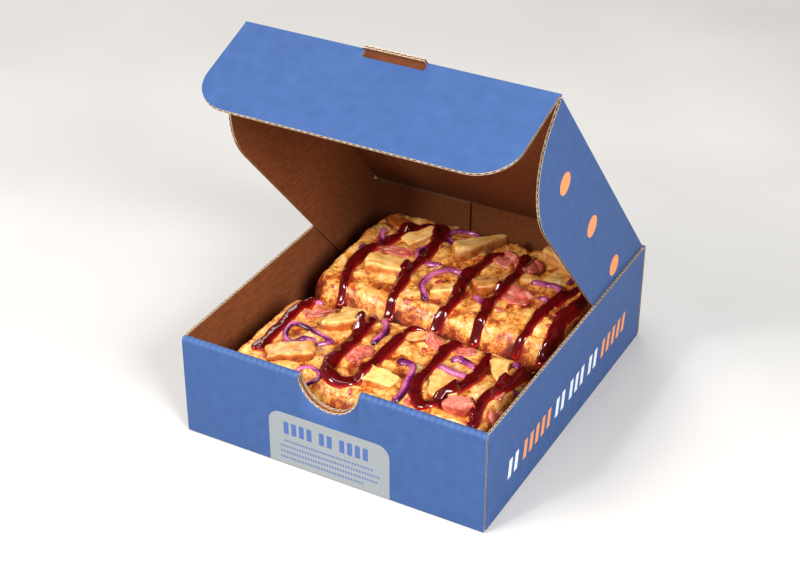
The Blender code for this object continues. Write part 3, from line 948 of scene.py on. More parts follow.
@dataclass
class Tray:
    """The folded tray: floor, walls, rolled front wall with its thumb notch, and the ears."""

    width: float = 0.0
    depth: float = 0.0
    height: float = 0.0
    front_wall: float = 6.1 * MM
    front_trim: float = 0.4 * MM
    fold_radius: float = 1.8 * MM
    front_ear: float = 58 * MM
    front_ear_top: float = 70.2 * MM
    back_ear: float = 81.7 * MM
    back_ear_top: float = 72.2 * MM
    notch_radius: float = 22 * MM
    notch_depth: float = 21.6 * MM
    roll_bump: float = 0.12 * MM
    station_step: float = 0.88 * MM
    shape: BoardShape = field(default_factory=BoardShape)
    cuts: FluteCuts = field(default_factory=FluteCuts)

    def __post_init__(self) -> None:
        """Take the outer sizes from the frame."""
        low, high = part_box("tray")
        self.width, self.depth, self.height = high - low

    def side(self, side: Side) -> None:
        """Add one side wall with both its ears, one board bent round the two corners."""
        reach = self.width / 2.0
        front = -self.depth / 2.0 + BOARD.thickness + self.front_trim
        back = self.depth / 2.0 - BOARD.thickness
        r = self.fold_radius
        path = [(reach - self.front_ear, front)]
        path += arc((reach - r, front + r), r, -90.0, 0.0, 6)
        path += arc((reach - r, back - r), r, 0.0, 90.0, 6)
        path.append((reach - self.back_ear - BOARD.thickness, back))
        heights = ([self.front_ear_top] * 3 + [self.height] * (len(path) - 6)
                   + [self.back_ear_top] * 3)
        if side is Side.LEFT:
            path = [(-x, y) for x, y in reversed(path)]
            heights.reverse()
        for layer in BOARD.layers():
            part = slice(1, -1) if layer.recess else slice(None)
            bent_layer(self.shape, path[part], layer, [FLOOR_GAP, self.height], Matrix.Identity(4),
                       [height - layer.recess for height in heights[part]])
        top = self.height - HAIR
        run = [(self.depth / 2.0 - 2.0 * r, top), (-self.depth / 2.0 + 2.0 * r, top)]
        self.cuts.follow(run, 1, BOARD.thickness / 2.0,
                         basis((side.value * reach, 0.0, 0.0), (0, -side.value, 0), (0, 0, 1)),
                         closed=False)

    def flat_walls(self) -> None:
        """Add the floor and the back wall."""
        x, y = self.width / 2.0, self.depth / 2.0
        gap = BOARD.recess
        floor = [(gap - x, gap - y), (x - gap, gap - y), (x - gap, y - gap), (gap - x, y - gap)]
        BOARD.panel(self.shape, None, floor, basis((0, 0, 0), (1, 0, 0), (0, 1, 0)), 1)
        trim = x - self.front_trim
        top = self.height - BOARD.thickness / 2.0
        wall = [(-trim, FLOOR_GAP), (trim, FLOOR_GAP), (trim, top), (-trim, top)]
        BOARD.panel(self.shape, None, wall, basis((0, y, 0), (1, 0, 0), (0, 0, 1)), 1)

    def front_layer(self, layer: Layer) -> Thing:
        """Make one layer of the rolled front wall, with the notch cut through it.

        Args:
            layer: Which layer; the flutes push through the printed one as bumps on the roll.

        Returns:
            The layer's object.
        """
        bumpy = layer.outer == 0.0
        front = -self.depth / 2.0
        radius = self.front_wall / 2.0
        roll = arc((front + radius, self.height - radius), radius - self.roll_bump, 180.0, 0.0, 14)
        path = [(front, FLOOR_GAP), (front, 0.5 * self.height), *roll,
                (front + self.front_wall, 0.5 * self.height), (front + self.front_wall, 2.0 * MM)]
        path.reverse()
        last = len(path) - 1
        reach = self.width / 2.0 - self.front_trim - layer.recess
        count = round(2.0 * reach / self.station_step) if bumpy else 1
        stations = [-reach + 2.0 * reach * index / count for index in range(count + 1)]

        def ripple(index: int, station: float) -> float:
            """Height of the flute bumps: full on the roll, none on the flat panels."""
            if not 2 <= index <= last - 2:
                return 0.0
            window = math.sin(math.pi * (index - 2) / (last - 4)) ** 0.5
            return self.roll_bump * window * abs(math.sin(math.pi * station / BOARD.pitch)) ** 1.5

        shape = BoardShape()
        bent_layer(shape, path, layer, stations, basis((0, 0, 0), (0, 1, 0), (0, 0, 1)),
                   ripple=ripple if bumpy else None)
        wall = shape.build(f"front_wall_{layer.name}")
        turn_outwards(wall)
        cut_with(wall, self.notch(self.notch_radius + layer.recess))
        return wall

    def notch(self, radius: float) -> Thing:
        """A solid with a round end of a given radius that cuts the thumb notch."""
        outline = arc((0.0, self.notch_base()), radius, 180.0, 360.0, 40)
        outline += [(radius, self.height + 0.01), (-radius, self.height + 0.01)]
        shape = BoardShape()
        place = basis((0, 0, 0), (1, 0, 0), (0, 0, 1))
        shape.prism(outline, self.depth / 2.0 - 0.02, self.depth / 2.0 + 0.01, place,
                    PAPER_ONLY, 1)
        cutter = shape.build("notch_cutter")
        turn_outwards(cutter)
        return cutter

    def notch_base(self) -> float:
        """Height of the centre of the notch's round end."""
        return self.height - self.notch_depth + self.notch_radius

    def front(self) -> list[Thing]:
        """Make the rolled front wall's three layers, and note the notch's cut edges."""
        printed, kraft, fluting = BOARD.layers()
        layers = [self.front_layer(layer) for layer in (printed, fluting, kraft)]
        front = self.depth / 2.0
        lip = arc((0.0, self.notch_base()), self.notch_radius + HAIR, 198.0, 342.0, 40)
        lip.reverse()
        for depth in (-front, -front + self.front_wall - BOARD.thickness):
            place = basis((0.0, depth, 0.0), (-1, 0, 0), (0, 0, 1))
            outline = [(-x, z) for x, z in lip]
            self.cuts.follow(outline, 1, BOARD.thickness / 2.0, place, closed=False)
        return layers

    def hinge_bead(self) -> None:
        """Add the scored fold along the back wall's top, which the lid turns on."""
        radius = BOARD.thickness / 2.0
        centre = (self.depth / 2.0 - radius, self.height - radius)
        outline = arc(centre, radius - 0.02 * MM, 0.0, 345.0, 23)
        add_bead(self.shape, outline, self.width / 2.0 - self.front_trim)

    def build(self) -> None:
        """Make the whole tray and hand its pieces over."""
        self.side(Side.LEFT)
        self.side(Side.RIGHT)
        self.flat_walls()
        self.hinge_bead()
        walls = self.shape.build("tray_walls")
        turn_outwards(walls)
        hand_over(walls, "tray", "blue_board", "tray")
        for layer in self.front():
            hand_over(layer, "tray", "blue_board")
        hand_over(BOARD.flutes(self.cuts, "tray_cut_flutes"), "tray", "blue_board")


def add_bead(shape: BoardShape, outline: Sequence[Point2], reach: float,
             place: Matrix | None = None) -> None:
    """Add a fold: a round printed rod along X.

    Args:
        shape: Shape that the rod goes into.
        outline: Its section in the Y and Z of its frame.
        reach: Half its length.
        place: Its frame, or None for the world's.
    """
    turned = (place or Matrix.Identity(4)) @ basis((0, 0, 0), (0, 1, 0), (0, 0, 1))
    shape.prism(outline, -reach, reach, turned, INK_ONLY)


@dataclass
class Lid:
    """The hinged lid: top panel with its tab, and the two side flaps square to it."""

    opening: float = math.radians(49.0)
    length: float = 246.5 * MM
    width: float = 215.4 * MM
    flap_start: float = 4.0 * MM
    flap_end: float = 244.2 * MM
    flap_height: float = 66.5 * MM
    flap_slope: float = 58 * MM
    flap_corner: float = 52 * MM
    tab_width: float = 42 * MM
    tab_length: float = 6.0 * MM
    marks: tuple[Point2, ...] = ((189 * MM, 32 * MM), (116 * MM, 31 * MM), (46 * MM, 32 * MM))
    mark_radius: float = 7.5 * MM
    frame: Matrix = field(default_factory=Matrix)
    shape: BoardShape = field(default_factory=BoardShape)
    cuts: FluteCuts = field(default_factory=FluteCuts)

    def __post_init__(self) -> None:
        """Set the lid's frame on the hinge: forward is -Y and down is -Z with the lid shut."""
        joint = next(joint for joint in frame["joints"] if joint["name"] == "lid_hinge")
        self.frame = Matrix.Translation(joint["pos_m"]) @ Matrix.Rotation(-self.opening, 4, "X")

    def side_outline(self) -> list[Point2]:
        """Outline of a side flap as (forward, down) points."""
        lead = self.flap_end - 2.0 * MM
        points = [(self.flap_start, BOARD.thickness / 2.0), (self.flap_end, BOARD.thickness / 2.0),
                  (lead, self.flap_height - self.flap_corner)]
        for step in range(1, 15):
            angle = math.radians(90.0 * step / 14.0)
            points.append((self.flap_end - self.flap_slope
                           + (self.flap_slope - 2.0 * MM) * math.cos(angle),
                           self.flap_height - self.flap_corner * (1.0 - math.sin(angle))))
        points.append((self.flap_start, self.flap_height))
        return points

    def side_place(self, side: Side) -> Matrix:
        """Frame of a side flap: forward and down, with the printed face outwards."""
        origin = (side.value * self.width / 2.0, 0.0, 0.0)
        if side is Side.LEFT:
            return self.frame @ basis(origin, (0, -1, 0), (0, 0, -1))
        return self.frame @ basis(origin, (0, 0, -1), (0, -1, 0))

    def panels(self) -> None:
        """Add the top panel, the side flaps and the folds between them."""
        half = self.width / 2.0 - BOARD.thickness
        tab = self.tab_width / 2.0
        start = 0.8 * MM
        tip = self.length + self.tab_length
        outline = [(-half, start), (half, start), (half, self.length), (tab, self.length),
                   (tab, tip), (-tab, tip), (-tab, self.length), (-half, self.length)]
        top = self.frame @ basis((0.0, 0.0, BOARD.thickness / 2.0), (1, 0, 0), (0, -1, 0))
        BOARD.panel(self.shape, None, outline, top, 1)
        edge = [(-tab, tip - HAIR), (tab, tip - HAIR)]
        self.cuts.follow([edge[1], edge[0]], 1, BOARD.thickness / 2.0, top, closed=False)
        for side in Side:
            flap = self.side_outline()
            if side is Side.RIGHT:
                flap = [(down, forward) for forward, down in flap]
            BOARD.panel(self.shape, self.cuts, flap, self.side_place(side),
                        0 if side is Side.LEFT else 1)
            self.edge_fold(side)

    def edge_fold(self, side: Side) -> None:
        """Add the rounded fold between the top panel and one side flap."""
        radius = BOARD.thickness
        centre = (side.value * (self.width / 2.0 - radius), -radius / 2.0)
        start, end = (0.0, 90.0) if side is Side.RIGHT else (90.0, 180.0)
        outline = [centre, *arc(centre, radius, start, end, 8)]
        place = self.frame @ basis((0.0, 0.0, 0.0), (1, 0, 0), (0, 0, 1))
        self.shape.prism(outline, self.flap_start, self.flap_end, place,
                         (Face.PAPER_EDGE, Face.PAPER_EDGE, Face.INK))

    def ridge(self) -> None:
        """Add the scored front fold, on both sides of the tab."""
        radius = BOARD.thickness / 2.0
        outline = arc((-self.length, 0.0), radius, 0.0, 345.0, 23)
        tab = self.tab_width / 2.0
        reach = (self.width / 2.0 - tab) / 2.0
        for side in Side:
            shift = Matrix.Translation((side.value * (tab + reach), 0.0, 0.0))
            add_bead(self.shape, outline, reach, self.frame @ shift)

    def marks_print(self) -> Thing:
        """Make the three plain discs printed on the right side flap."""
        shape = BoardShape()
        place = self.side_place(Side.RIGHT)
        for forward, down in self.marks:
            outline = arc((down, forward), self.mark_radius, 0.0, 352.0, 44)
            shape.prism(outline, -0.05 * MM, 0.05 * MM, place, INK_ONLY)
        return shape.build("lid_side_print", (ORANGE_INK,))

    def build(self) -> None:
        """Make the lid and hand its pieces over."""
        self.panels()
        self.ridge()
        lid = self.shape.build("lid_board")
        turn_outwards(lid)
        hand_over(lid, "lid", "blue_board", "lid")
        hand_over(BOARD.flutes(self.cuts, "lid_cut_flutes"), "lid", "blue_board")
        hand_over(self.marks_print(), "lid", "orange_ink")


@dataclass
class FrontFlap:
    """The front flap, folded down from the lid's ridge."""

    lid: Lid
    fold: float = math.radians(68.0)
    height: float = 74.3 * MM
    taper: float = 0.8 * MM
    corner: float = 27 * MM
    cuts: FluteCuts = field(default_factory=FluteCuts)

    def build(self) -> None:
        """Make the flap and hand its pieces over."""
        half = self.lid.width / 2.0 - 0.3 * MM
        foot = half - self.taper
        slot = self.lid.tab_width / 2.0 + 0.5 * MM
        slot_end = self.lid.tab_length + 0.5 * MM
        start = 0.5 * MM
        low = self.height - self.corner
        outline = [(-slot, start), (-slot, slot_end), (slot, slot_end), (slot, start),
                   (half, start)]
        outline += arc((foot - self.corner, low), self.corner, 0.0, 90.0, 16)
        outline += arc((self.corner - foot, low), self.corner, 90.0, 180.0, 16)
        outline.append((-half, start))
        place = (self.lid.frame @ Matrix.Translation((0.0, -self.lid.length, 0.0))
                 @ Matrix.Rotation(self.fold, 4, "X")
                 @ basis((0.0, 0.0, BOARD.thickness / 2.0), (1, 0, 0), (0, -1, 0)))
        shape = BoardShape()
        BOARD.panel(shape, self.cuts, outline, place, 1)
        flap = shape.build("front_flap_board")
        turn_outwards(flap)
        hand_over(flap, "front_flap", "blue_board", "front_flap")
        hand_over(BOARD.flutes(self.cuts, "front_flap_cut_flutes"), "front_flap", "blue_board")


@dataclass
class Print:
    """Plain printed fields and bars that stand in for the box's label and line of words."""

    tray: Tray
    label_low: float = -45 * MM
    label_high: float = 43.5 * MM
    label_top: float = 41 * MM
    label_corner: float = 9 * MM
    proud: float = 0.05 * MM
    heading: tuple[int, ...] = (4, 2, 4)
    letter: float = 5.7 * MM
    side_words: tuple[int, ...] = (2, 5, 2, 3, 2, 5)

    def label(self) -> Thing:
        """Make the label's pale field on the front wall."""
        r = self.label_corner
        outline = [(self.label_low, 0.4 * MM), (self.label_high, 0.4 * MM)]
        outline += arc((self.label_high - r, self.label_top - r), r, 0.0, 90.0, 10)
        outline += arc((self.label_low + r, self.label_top - r), r, 90.0, 180.0, 10)
        shape = BoardShape()
        place = basis((0.0, -self.tray.depth / 2.0, 0.0), (-1, 0, 0), (0, 0, 1))
        outline = [(-x, z) for x, z in reversed(outline)]
        shape.prism(outline, -self.proud, self.proud, place, INK_ONLY)
        label = shape.build("front_label_field", (PALE_INK,))
        turn_outwards(label)
        return label

    @staticmethod
    @cache
    def tree() -> Tree:
        """Build the tree that sets a row of slanted bars; it is built once."""
        pad, given = new_tree("bar_row", {"Count": "Int", "Step": "Vector", "Bar Size": "Vector",
                                          "Slant": "Float", "Finish": "Material"})
        row = pad.add("GeometryNodeMeshLine", {"Count": given["Count"], "Offset": given["Step"]},
                      mode="OFFSET")
        bar = pad.add("GeometryNodeMeshCube", {"Size": given["Bar Size"]})
        place = pad.add("GeometryNodeInputPosition").outputs[0]
        up = pad.add("ShaderNodeSeparateXYZ", {"Vector": place}).outputs["Y"]
        lean = pad.math("MULTIPLY", up, given["Slant"])
        shift = pad.add("ShaderNodeCombineXYZ", {"X": lean})
        leaning = pad.add("GeometryNodeSetPosition",
                          {"Geometry": bar.outputs["Mesh"], "Offset": shift})
        copies = pad.add("GeometryNodeInstanceOnPoints",
                         {"Points": row, "Instance": leaning})
        return end_tree(pad, copies.outputs[0])

    def bars(self, name: str, count: int, step: float, size: Point2, slant: float,
             ink: SpotInk, place: Matrix) -> None:
        """Set one row of bars in ink and hand it over.

        Args:
            name: The object's name.
            count: How many bars.
            step: Distance from bar to bar.
            size: A bar's width and height.
            slant: How far a bar leans for each unit of height.
            ink: The ink.
            place: Frame of the row: along it, up the bars and out of the face.
        """
        row = new_object(name, bpy.data.meshes.new(name))
        run_tree(row, self.tree(), {
            "Count": count, "Step": (step, 0.0, 0.0), "Bar Size": (*size, 2.0 * self.proud),
            "Slant": slant, "Finish": ink.material()})
        row.data.transform(place)
        hand_over(row, "tray", ink.slot)

    def front_rows(self) -> None:
        """Set the label's heading and its lines of small print as rows of bars."""
        front = -self.tray.depth / 2.0 - self.proud
        letter = self.letter
        x = -32 * MM
        for number, count in enumerate(self.heading, 1):
            place = basis((x, front, 29.5 * MM), (1, 0, 0), (0, 0, 1))
            self.bars(f"label_heading_{number}", count, letter, (3.6 * MM, 9.5 * MM), 0.0,
                      BLUE_INK, place)
            x += count * letter + 3.5 * MM
        for number, (start, count) in enumerate(((-33, 33), (-36, 37), (-36, 36), (-36, 31)), 1):
            height = (23.5 - 4.4 * number) * MM
            place = basis((start * MM, front, height), (1, 0, 0), (0, 0, 1))
            self.bars(f"label_small_print_{number}", count, 2.0 * MM, (1.1 * MM, 1.5 * MM), 0.0,
                      BLUE_INK, place)

    def side_rows(self) -> None:
        """Set the side wall's line of words as slanted bars, in white and orange."""
        face = self.tray.width / 2.0 + self.proud
        y = -91 * MM
        inks = (WHITE_INK, ORANGE_INK, WHITE_INK, WHITE_INK, WHITE_INK, ORANGE_INK)
        letter = 8.9 * MM
        for number, (count, ink) in enumerate(zip(self.side_words, inks), 1):
            rise = 26.5 * MM + 0.02 * (y + 91 * MM)
            place = basis((face, y, rise), (0, 1, 0.02), (0, 0, 1))
            self.bars(f"side_print_{number}", count, letter, (4.6 * MM, 13.5 * MM), 0.16, ink,
                      place)
            y += count * letter + 4.3 * MM

    def build(self) -> None:
        """Make all the print and hand it over."""
        hand_over(self.label(), "tray", "pale_ink")
        self.front_rows()
        self.side_rows()


# --- the pizza

class Ground:
    """What lies under a topping or the sauce: the slabs, then the toppings laid so far."""

    def __init__(self) -> None:
        """Start with nothing under."""
        self.trees: list[BVHTree] = []

    def add(self, thing: Thing) -> None:
        """Let later pieces rest on this one."""
        mesh = thing.data
        self.trees.append(BVHTree.FromPolygons([vertex.co for vertex in mesh.vertices],
                                               [polygon.vertices for polygon in mesh.polygons]))

    def height(self, x: float, y: float, default: float = 0.03) -> float:
        """Highest surface under a point.

        Args:
            x: Place across the box.
            y: Place from front to back.
            default: Height where nothing is under.

        Returns:
            The height.
        """
        best = default
        for tree in self.trees:
            hit = tree.ray_cast(Vector((x, y, 0.15)), Vector((0.0, 0.0, -1.0)))[0]
            if hit is not None:
                best = max(best, hit.z)
        return best

    def plane(self, x: float, y: float, reach: float) -> tuple[float, Vector]:
        """Mean height and slope round a point.

        Args:
            x: Place across the box.
            y: Place from front to back.
            reach: Half the width that is looked at.

        Returns:
            The height there, and the upward normal.
        """
        east, west = self.height(x + reach, y), self.height(x - reach, y)
        north, south = self.height(x, y + reach), self.height(x, y - reach)
        normal = Vector((west - east, south - north, 2.0 * reach)).normalized()
        return (east + west + north + south + 2.0 * self.height(x, y)) / 6.0, normal


def add_attribute(mesh: bpy.types.Mesh, name: str, values: Sequence[float]) -> None:
    """Store one number for each point of a mesh."""
    layer = mesh.attributes.new(name, "FLOAT", "POINT")
    layer.data.foreach_set("value", np.array(values, np.float32))


def smoothstep(low: float, high: float, value: float) -> float:
    """Ease from 0 at low to 1 at high."""
    t = min(max((value - low) / (high - low), 0.0), 1.0)
    return t * t * (3.0 - 2.0 * t)


def loft(name: str, rings: Sequence[Sequence[Vector]], finish: Finish,
         closed: bool = False) -> Thing:
    """Skin a stack of rings and close its ends.

    Args:
        name: The object's name.
        rings: Rings of points, all with the same count.
        finish: The skin's finish.
        closed: Whether the last ring joins the first instead of both ends being capped.

    Returns:
        The new object, facing outwards.
    """
    count = len(rings[0])
    vertices = [point for ring in rings for point in ring]
    faces = []
    spans = len(rings) if closed else len(rings) - 1
    for row in range(spans):
        lower, upper = row * count, ((row + 1) % len(rings)) * count
        for index in range(count):
            following = (index + 1) % count
            faces.append((lower + index, lower + following, upper + following, upper + index))
    if not closed:
        faces.append(tuple(reversed(range(count))))
        faces.append(tuple(range(len(vertices) - count, len(vertices))))
    mesh = bpy.data.meshes.new(name)
    mesh.from_pydata(vertices, [], faces)
    mesh.materials.append(finish.material())
    mesh.shade_smooth()
    thing = new_object(name, mesh)
    turn_outwards(thing)
    return thing


@dataclass
class Slab:
    """One long slab of pizza: puffed dough with melted cheese over its whole top."""

    node: str
    seed: float
    corner: float = 26 * MM
    shoulder: float = 15 * MM
    side_top: float = 36 * MM
    top_rise: float = 0.0
    pillow: float = 31 * MM
    pillow_rise: float = 2.6 * MM
    lump: float = 11 * MM
    lump_rise: float = 1.5 * MM
    blister: float = 3.4 * MM
    blister_rise: float = 0.38 * MM
    broad: float = 34 * MM
    broad_rise: float = 1.8 * MM
    scallop: float = 2.6 * MM
    scallop_size: float = 19 * MM
    groove_pitch: float = 8.5 * MM
    groove: float = 1.5 * MM
    groove_bend: float = 13 * MM
    bulge: float = 10 * MM
    small_bulge: float = 4.2 * MM
    toast_patch: float = 14 * MM
    scorch_patch: float = 18 * MM
    around_step: float = 1.05 * MM
    ring_step: float = 0.85 * MM

    def stations(self, half: Vector) -> list[tuple[Vector, Vector]]:
        """Core points and outward directions all round the slab.

        Args:
            half: Half sizes of the footprint.

        Returns:
            Pairs of core point and direction.
        """
        core = half - Vector((self.corner, self.corner))
        corners = ((core.x, -core.y, -90.0), (core.x, core.y, 0.0), (-core.x, core.y, 90.0),
                   (-core.x, -core.y, 180.0))
        turn_steps = round(self.corner * math.pi / 2.0 / self.around_step)
        stations = []
        for index, (x, y, start) in enumerate(corners):
            for step in range(turn_steps + 1):
                angle = math.radians(start + 90.0 * step / turn_steps)
                stations.append((Vector((x, y)), Vector((math.cos(angle), math.sin(angle)))))
            next_x, next_y, _ = corners[(index + 1) % 4]
            edge = Vector((next_x - x, next_y - y))
            steps = round(edge.length / self.around_step)
            outward = Vector((edge.y, -edge.x)).normalized()
            stations += [(Vector((x, y)) + edge * step / steps, outward)
                         for step in range(1, steps)]
        return stations

    def relief(self, x: float, y: float) -> tuple[float, float, float]:
        """Pillows, lumps and blisters of the baked top.

        Args:
            x: Place across the box.
            y: Place from front to back.

        Returns:
            Height over the mean top, closeness to a crease from 0 to 1, and the lumps alone.
        """
        place = Vector((x, y, self.seed))
        near = noise.voronoi(place / self.pillow)[0]
        open_share = 1.0 - math.exp(-(near[1] - near[0]) / 0.16)
        lumps = noise.fractal(place / self.lump, 1.1, 2.1, 2)
        broad = noise.noise(place / self.broad)
        blisters = noise.fractal(place / self.blister, 0.8, 2.2, 2)
        height = (self.pillow_rise * (open_share - 0.75) + self.lump_rise * lumps
                  + self.broad_rise * broad + self.blister_rise * blisters)
        return height, 1.0 - open_share, lumps

    def build(self, ground: Ground) -> Thing:
        """Make the slab.

        Args:
            ground: Takes the slab as something to rest on.

        Returns:
            The slab's object.
        """
        low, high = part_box(self.node)
        half = Vector(((high.x - low.x) / 2.0, (high.y - low.y) / 2.0))
        centre = Vector(((high.x + low.x) / 2.0, (high.y + low.y) / 2.0))
        top = high.z - 1.6 * MM + self.top_rise
        stations = self.stations(half)
        profile = [(5.0 * MM, low.z, 0.0), (2.0 * MM, low.z + 6 * MM, 0.0)]
        profile += [(0.4 * MM, low.z + rise * MM, 0.0) for rise in range(12, 33, 4)]
        arc_steps = 22
        for step in range(1, arc_steps + 1):
            angle = math.pi / 2.0 * step / arc_steps
            profile.append((self.shoulder * (1.0 - math.cos(angle)), self.side_top,
                            math.sin(angle)))
        inset_now = self.shoulder
        while inset_now + self.ring_step < self.corner:
            inset_now += self.ring_step
            profile.append((inset_now, self.side_top, 1.0))
        rings, toast, ooze = [], [], []
        core_steps = round((half.y - self.corner) / self.ring_step)
        scales = [(inset_at, base, share, 1.0) for inset_at, base, share in profile]
        scales += [(self.corner, self.side_top, 1.0, 1.0 - step / core_steps)
                   for step in range(0, core_steps)]
        for inset_at, base, share, scale in scales:
            ring = []
            walked = 0.0
            last = stations[-1][0] + stations[-1][1] * self.corner
            for anchor, outward in stations:
                edge = centre + anchor + outward * self.corner
                walked += (anchor + outward * self.corner - last).length
                last = anchor + outward * self.corner
                side, seeded = Vector((*edge, base)), Vector((*edge, self.seed))
                bend = noise.noise(side / self.groove_bend)
                ribbing = abs(math.sin(math.pi * walked / self.groove_pitch + 1.6 * bend))
                lobed = 0.25 + 0.75 * smoothstep(0.2, 0.8, -outward.x)
                dent = lobed * (1.0 - ribbing) ** 2
                wobble = 0.5 + 0.5 * noise.fractal(seeded / self.scallop_size, 1.0, 2.0, 2)
                shift = self.scallop * wobble * (1.0 - smoothstep(0.0, self.corner, inset_at))
                flat = centre + (anchor + outward * (self.corner - inset_at - shift)) * scale
                relief, crease, lumps = self.relief(flat.x, flat.y)
                height = base + (top - base + relief) * share
                edging = (1.0 - smoothstep(0.55, 1.0, share)) * (0.5 + 0.5 * min(1.0, base / 0.03))
                bulges = (1.5 * MM * noise.noise(side / self.bulge)
                          + 0.6 * MM * noise.noise(side / self.small_bulge))
                flat -= outward * (bulges + 1.2 * MM + self.groove * dent) * edging
                ring.append(Vector((flat.x, flat.y, height)))
                flank = 1.0 - smoothstep(0.25, 0.9, share)
                low_down = 1.0 - smoothstep(0.0, 0.8, share)
                spot = Vector((*flat, self.seed + 9.0))
                patch = smoothstep(0.1, 0.6, noise.noise(spot / self.toast_patch))
                scorch = 0.22 + 0.7 * noise.noise(seeded / self.scorch_patch)
                # 0.34 * dent * edging is painted shade in the grooves of the sides; the other
                # terms are browning
                heat = (0.31 + 0.04 * flank + scorch * low_down + 0.34 * dent * edging
                        + 0.16 * crease + 0.3 * patch - 60.0 * bulges * edging
                        + 0.32 * lobed * (1.0 - smoothstep(0.7, 1.0, share)))
                toast.append(min(1.0, heat - 0.10 * lumps))
                seep = max(0.0, -1.1 * lumps - 0.15)
                ooze.append(min(0.85, seep + 0.55 * crease ** 2 + 0.3 * flank))
            rings.append(ring)
        slab = loft(self.node + "_baked", rings, CHEESE)
        add_attribute(slab.data, "toast", toast)
        add_attribute(slab.data, "ooze", ooze)
        ground.add(slab)
        return slab


@dataclass
class Piece:
    """Sizes of one topping in millimetres, its turn in degrees, and how seared it is."""

    length: float
    width: float
    height: float
    turn: float
    taper: float = 0.0
    sear: float = 0.5
    sunk: float = 0.0


@dataclass
class Topping:
    """One kind of topping, laid piece by piece over what is already there."""

    prefix: str
    slot: str
    pieces: dict[int, object]

    def build(self, ground: Ground) -> None:
        """Make every piece and hand it over.

        Args:
            ground: What they rest on; it takes each of them.
        """
        for number, piece in self.pieces.items():
            node = f"{self.prefix}_{number:02d}"
            thing = self.make(node, piece, float(number), ground)
            ground.add(thing)
            hand_over(thing, "tray", self.slot, node)

    def make(self, node: str, piece: object, seed: float, ground: Ground) -> Thing:
        """Make one piece; each kind has its own shape.

        Args:
            node: The frame node it stands for, which gives its place.
            piece: Its sizes or its route.
            seed: Sets its own unevenness.
            ground: What it rests on.

        Returns:
            The piece's object.
        """
        raise NotImplementedError


@dataclass
class Chunks(Topping):
    """Solid bits of meat that lie half sunk in the cheese."""

    finish: Finish
    spokes: int = 44
    levels: int = 15
    sink: float = 1.6 * MM
    wall_share: float = 0.6
    squareness: float = 0.55
    tear_size: float = 7.5 * MM
    tear: float = 1.9 * MM
    grain: Point2 = (11 * MM, 1.6 * MM)
    grain_depth: float = 0.5 * MM
    sear_patch: float = 9 * MM

    def make(self, node: str, piece: Piece, seed: float, ground: Ground) -> Thing:
        """Make one chunk: a soft-edged block, torn and grooved along its grain."""
        low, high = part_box(node)
        middle = (low + high) / 2.0
        length, width, height = piece.length * MM, piece.width * MM, piece.height * MM
        rest, normal = ground.plane(middle.x, middle.y, 0.3 * (length + width) / 2.0)
        tilt = Vector((0.0, 0.0, 1.0)).rotation_difference(normal).to_matrix().to_4x4()
        foot = Vector((middle.x, middle.y, rest - self.sink - piece.sunk * MM))
        place = (Matrix.Translation(foot) @ tilt
                 @ Matrix.Rotation(math.radians(piece.turn), 4, "Z"))
        rings, toast, band = [], [], []
        for level in range(self.levels + 1):
            share = level / self.levels
            if share < self.wall_share:
                rise = share / self.wall_share
                reach = 0.94 + 0.06 * math.sin(math.pi * rise * 0.8)
                up = rise * 0.88
            else:
                angle = (share - self.wall_share) / 0.4 * math.pi / 2.0
                reach = 0.08 + 0.89 * math.cos(angle) ** 0.7 if level < self.levels else 0.08
                up = 0.88 + 0.12 * min(1.0, 1.6 * math.sin(angle))
            ring = []
            for spoke in range(self.spokes):
                angle = 2.0 * math.pi * spoke / self.spokes
                cosine, sine = math.cos(angle), math.sin(angle)
                x = math.copysign(abs(cosine) ** self.squareness, cosine) * length / 2.0 * reach
                y = math.copysign(abs(sine) ** self.squareness, sine) * width / 2.0 * reach
                y *= 1.0 - piece.taper * (x / length + 0.5)
                ragged = 1.0 + 0.2 * noise.noise(Vector((1.9 * cosine, 1.9 * sine, 2.7 * seed)))
                x, y = x * ragged, y * ragged
                spot = Vector((x, y, height * up))
                sample = Vector((x, y, height * up + seed)) / self.tear_size
                sample += Vector((seed * 3.1, 0.0, 0.0))
                push = noise.noise_vector(sample) * self.tear * (0.35 + 0.65 * up)
                strand = Vector((x / self.grain[0] + seed, y / self.grain[1], up * 3.0))
                groove = noise.noise(strand) * self.grain_depth
                spot += Vector((push.x, push.y, 0.6 * push.z + groove * (0.4 + 0.6 * up)))
                ring.append(place @ spot)
                flank = 1.0 - smoothstep(0.55, 1.0, up)
                hot = 0.5 + 0.5 * noise.noise(Vector((x, y, seed)) / self.sear_patch)
                scorch = 0.2 + 0.55 * piece.sear ** 2 + 1.2 * flank
                toast.append(min(1.0, piece.sear * scorch * (0.55 + 0.9 * hot)))
                band.append(0.25 * groove / self.grain_depth)
            rings.append(ring)
        chunk = loft(node + "_meat", rings, self.finish)
        add_attribute(chunk.data, "toast", toast)
        add_attribute(chunk.data, "band", band)
        return chunk


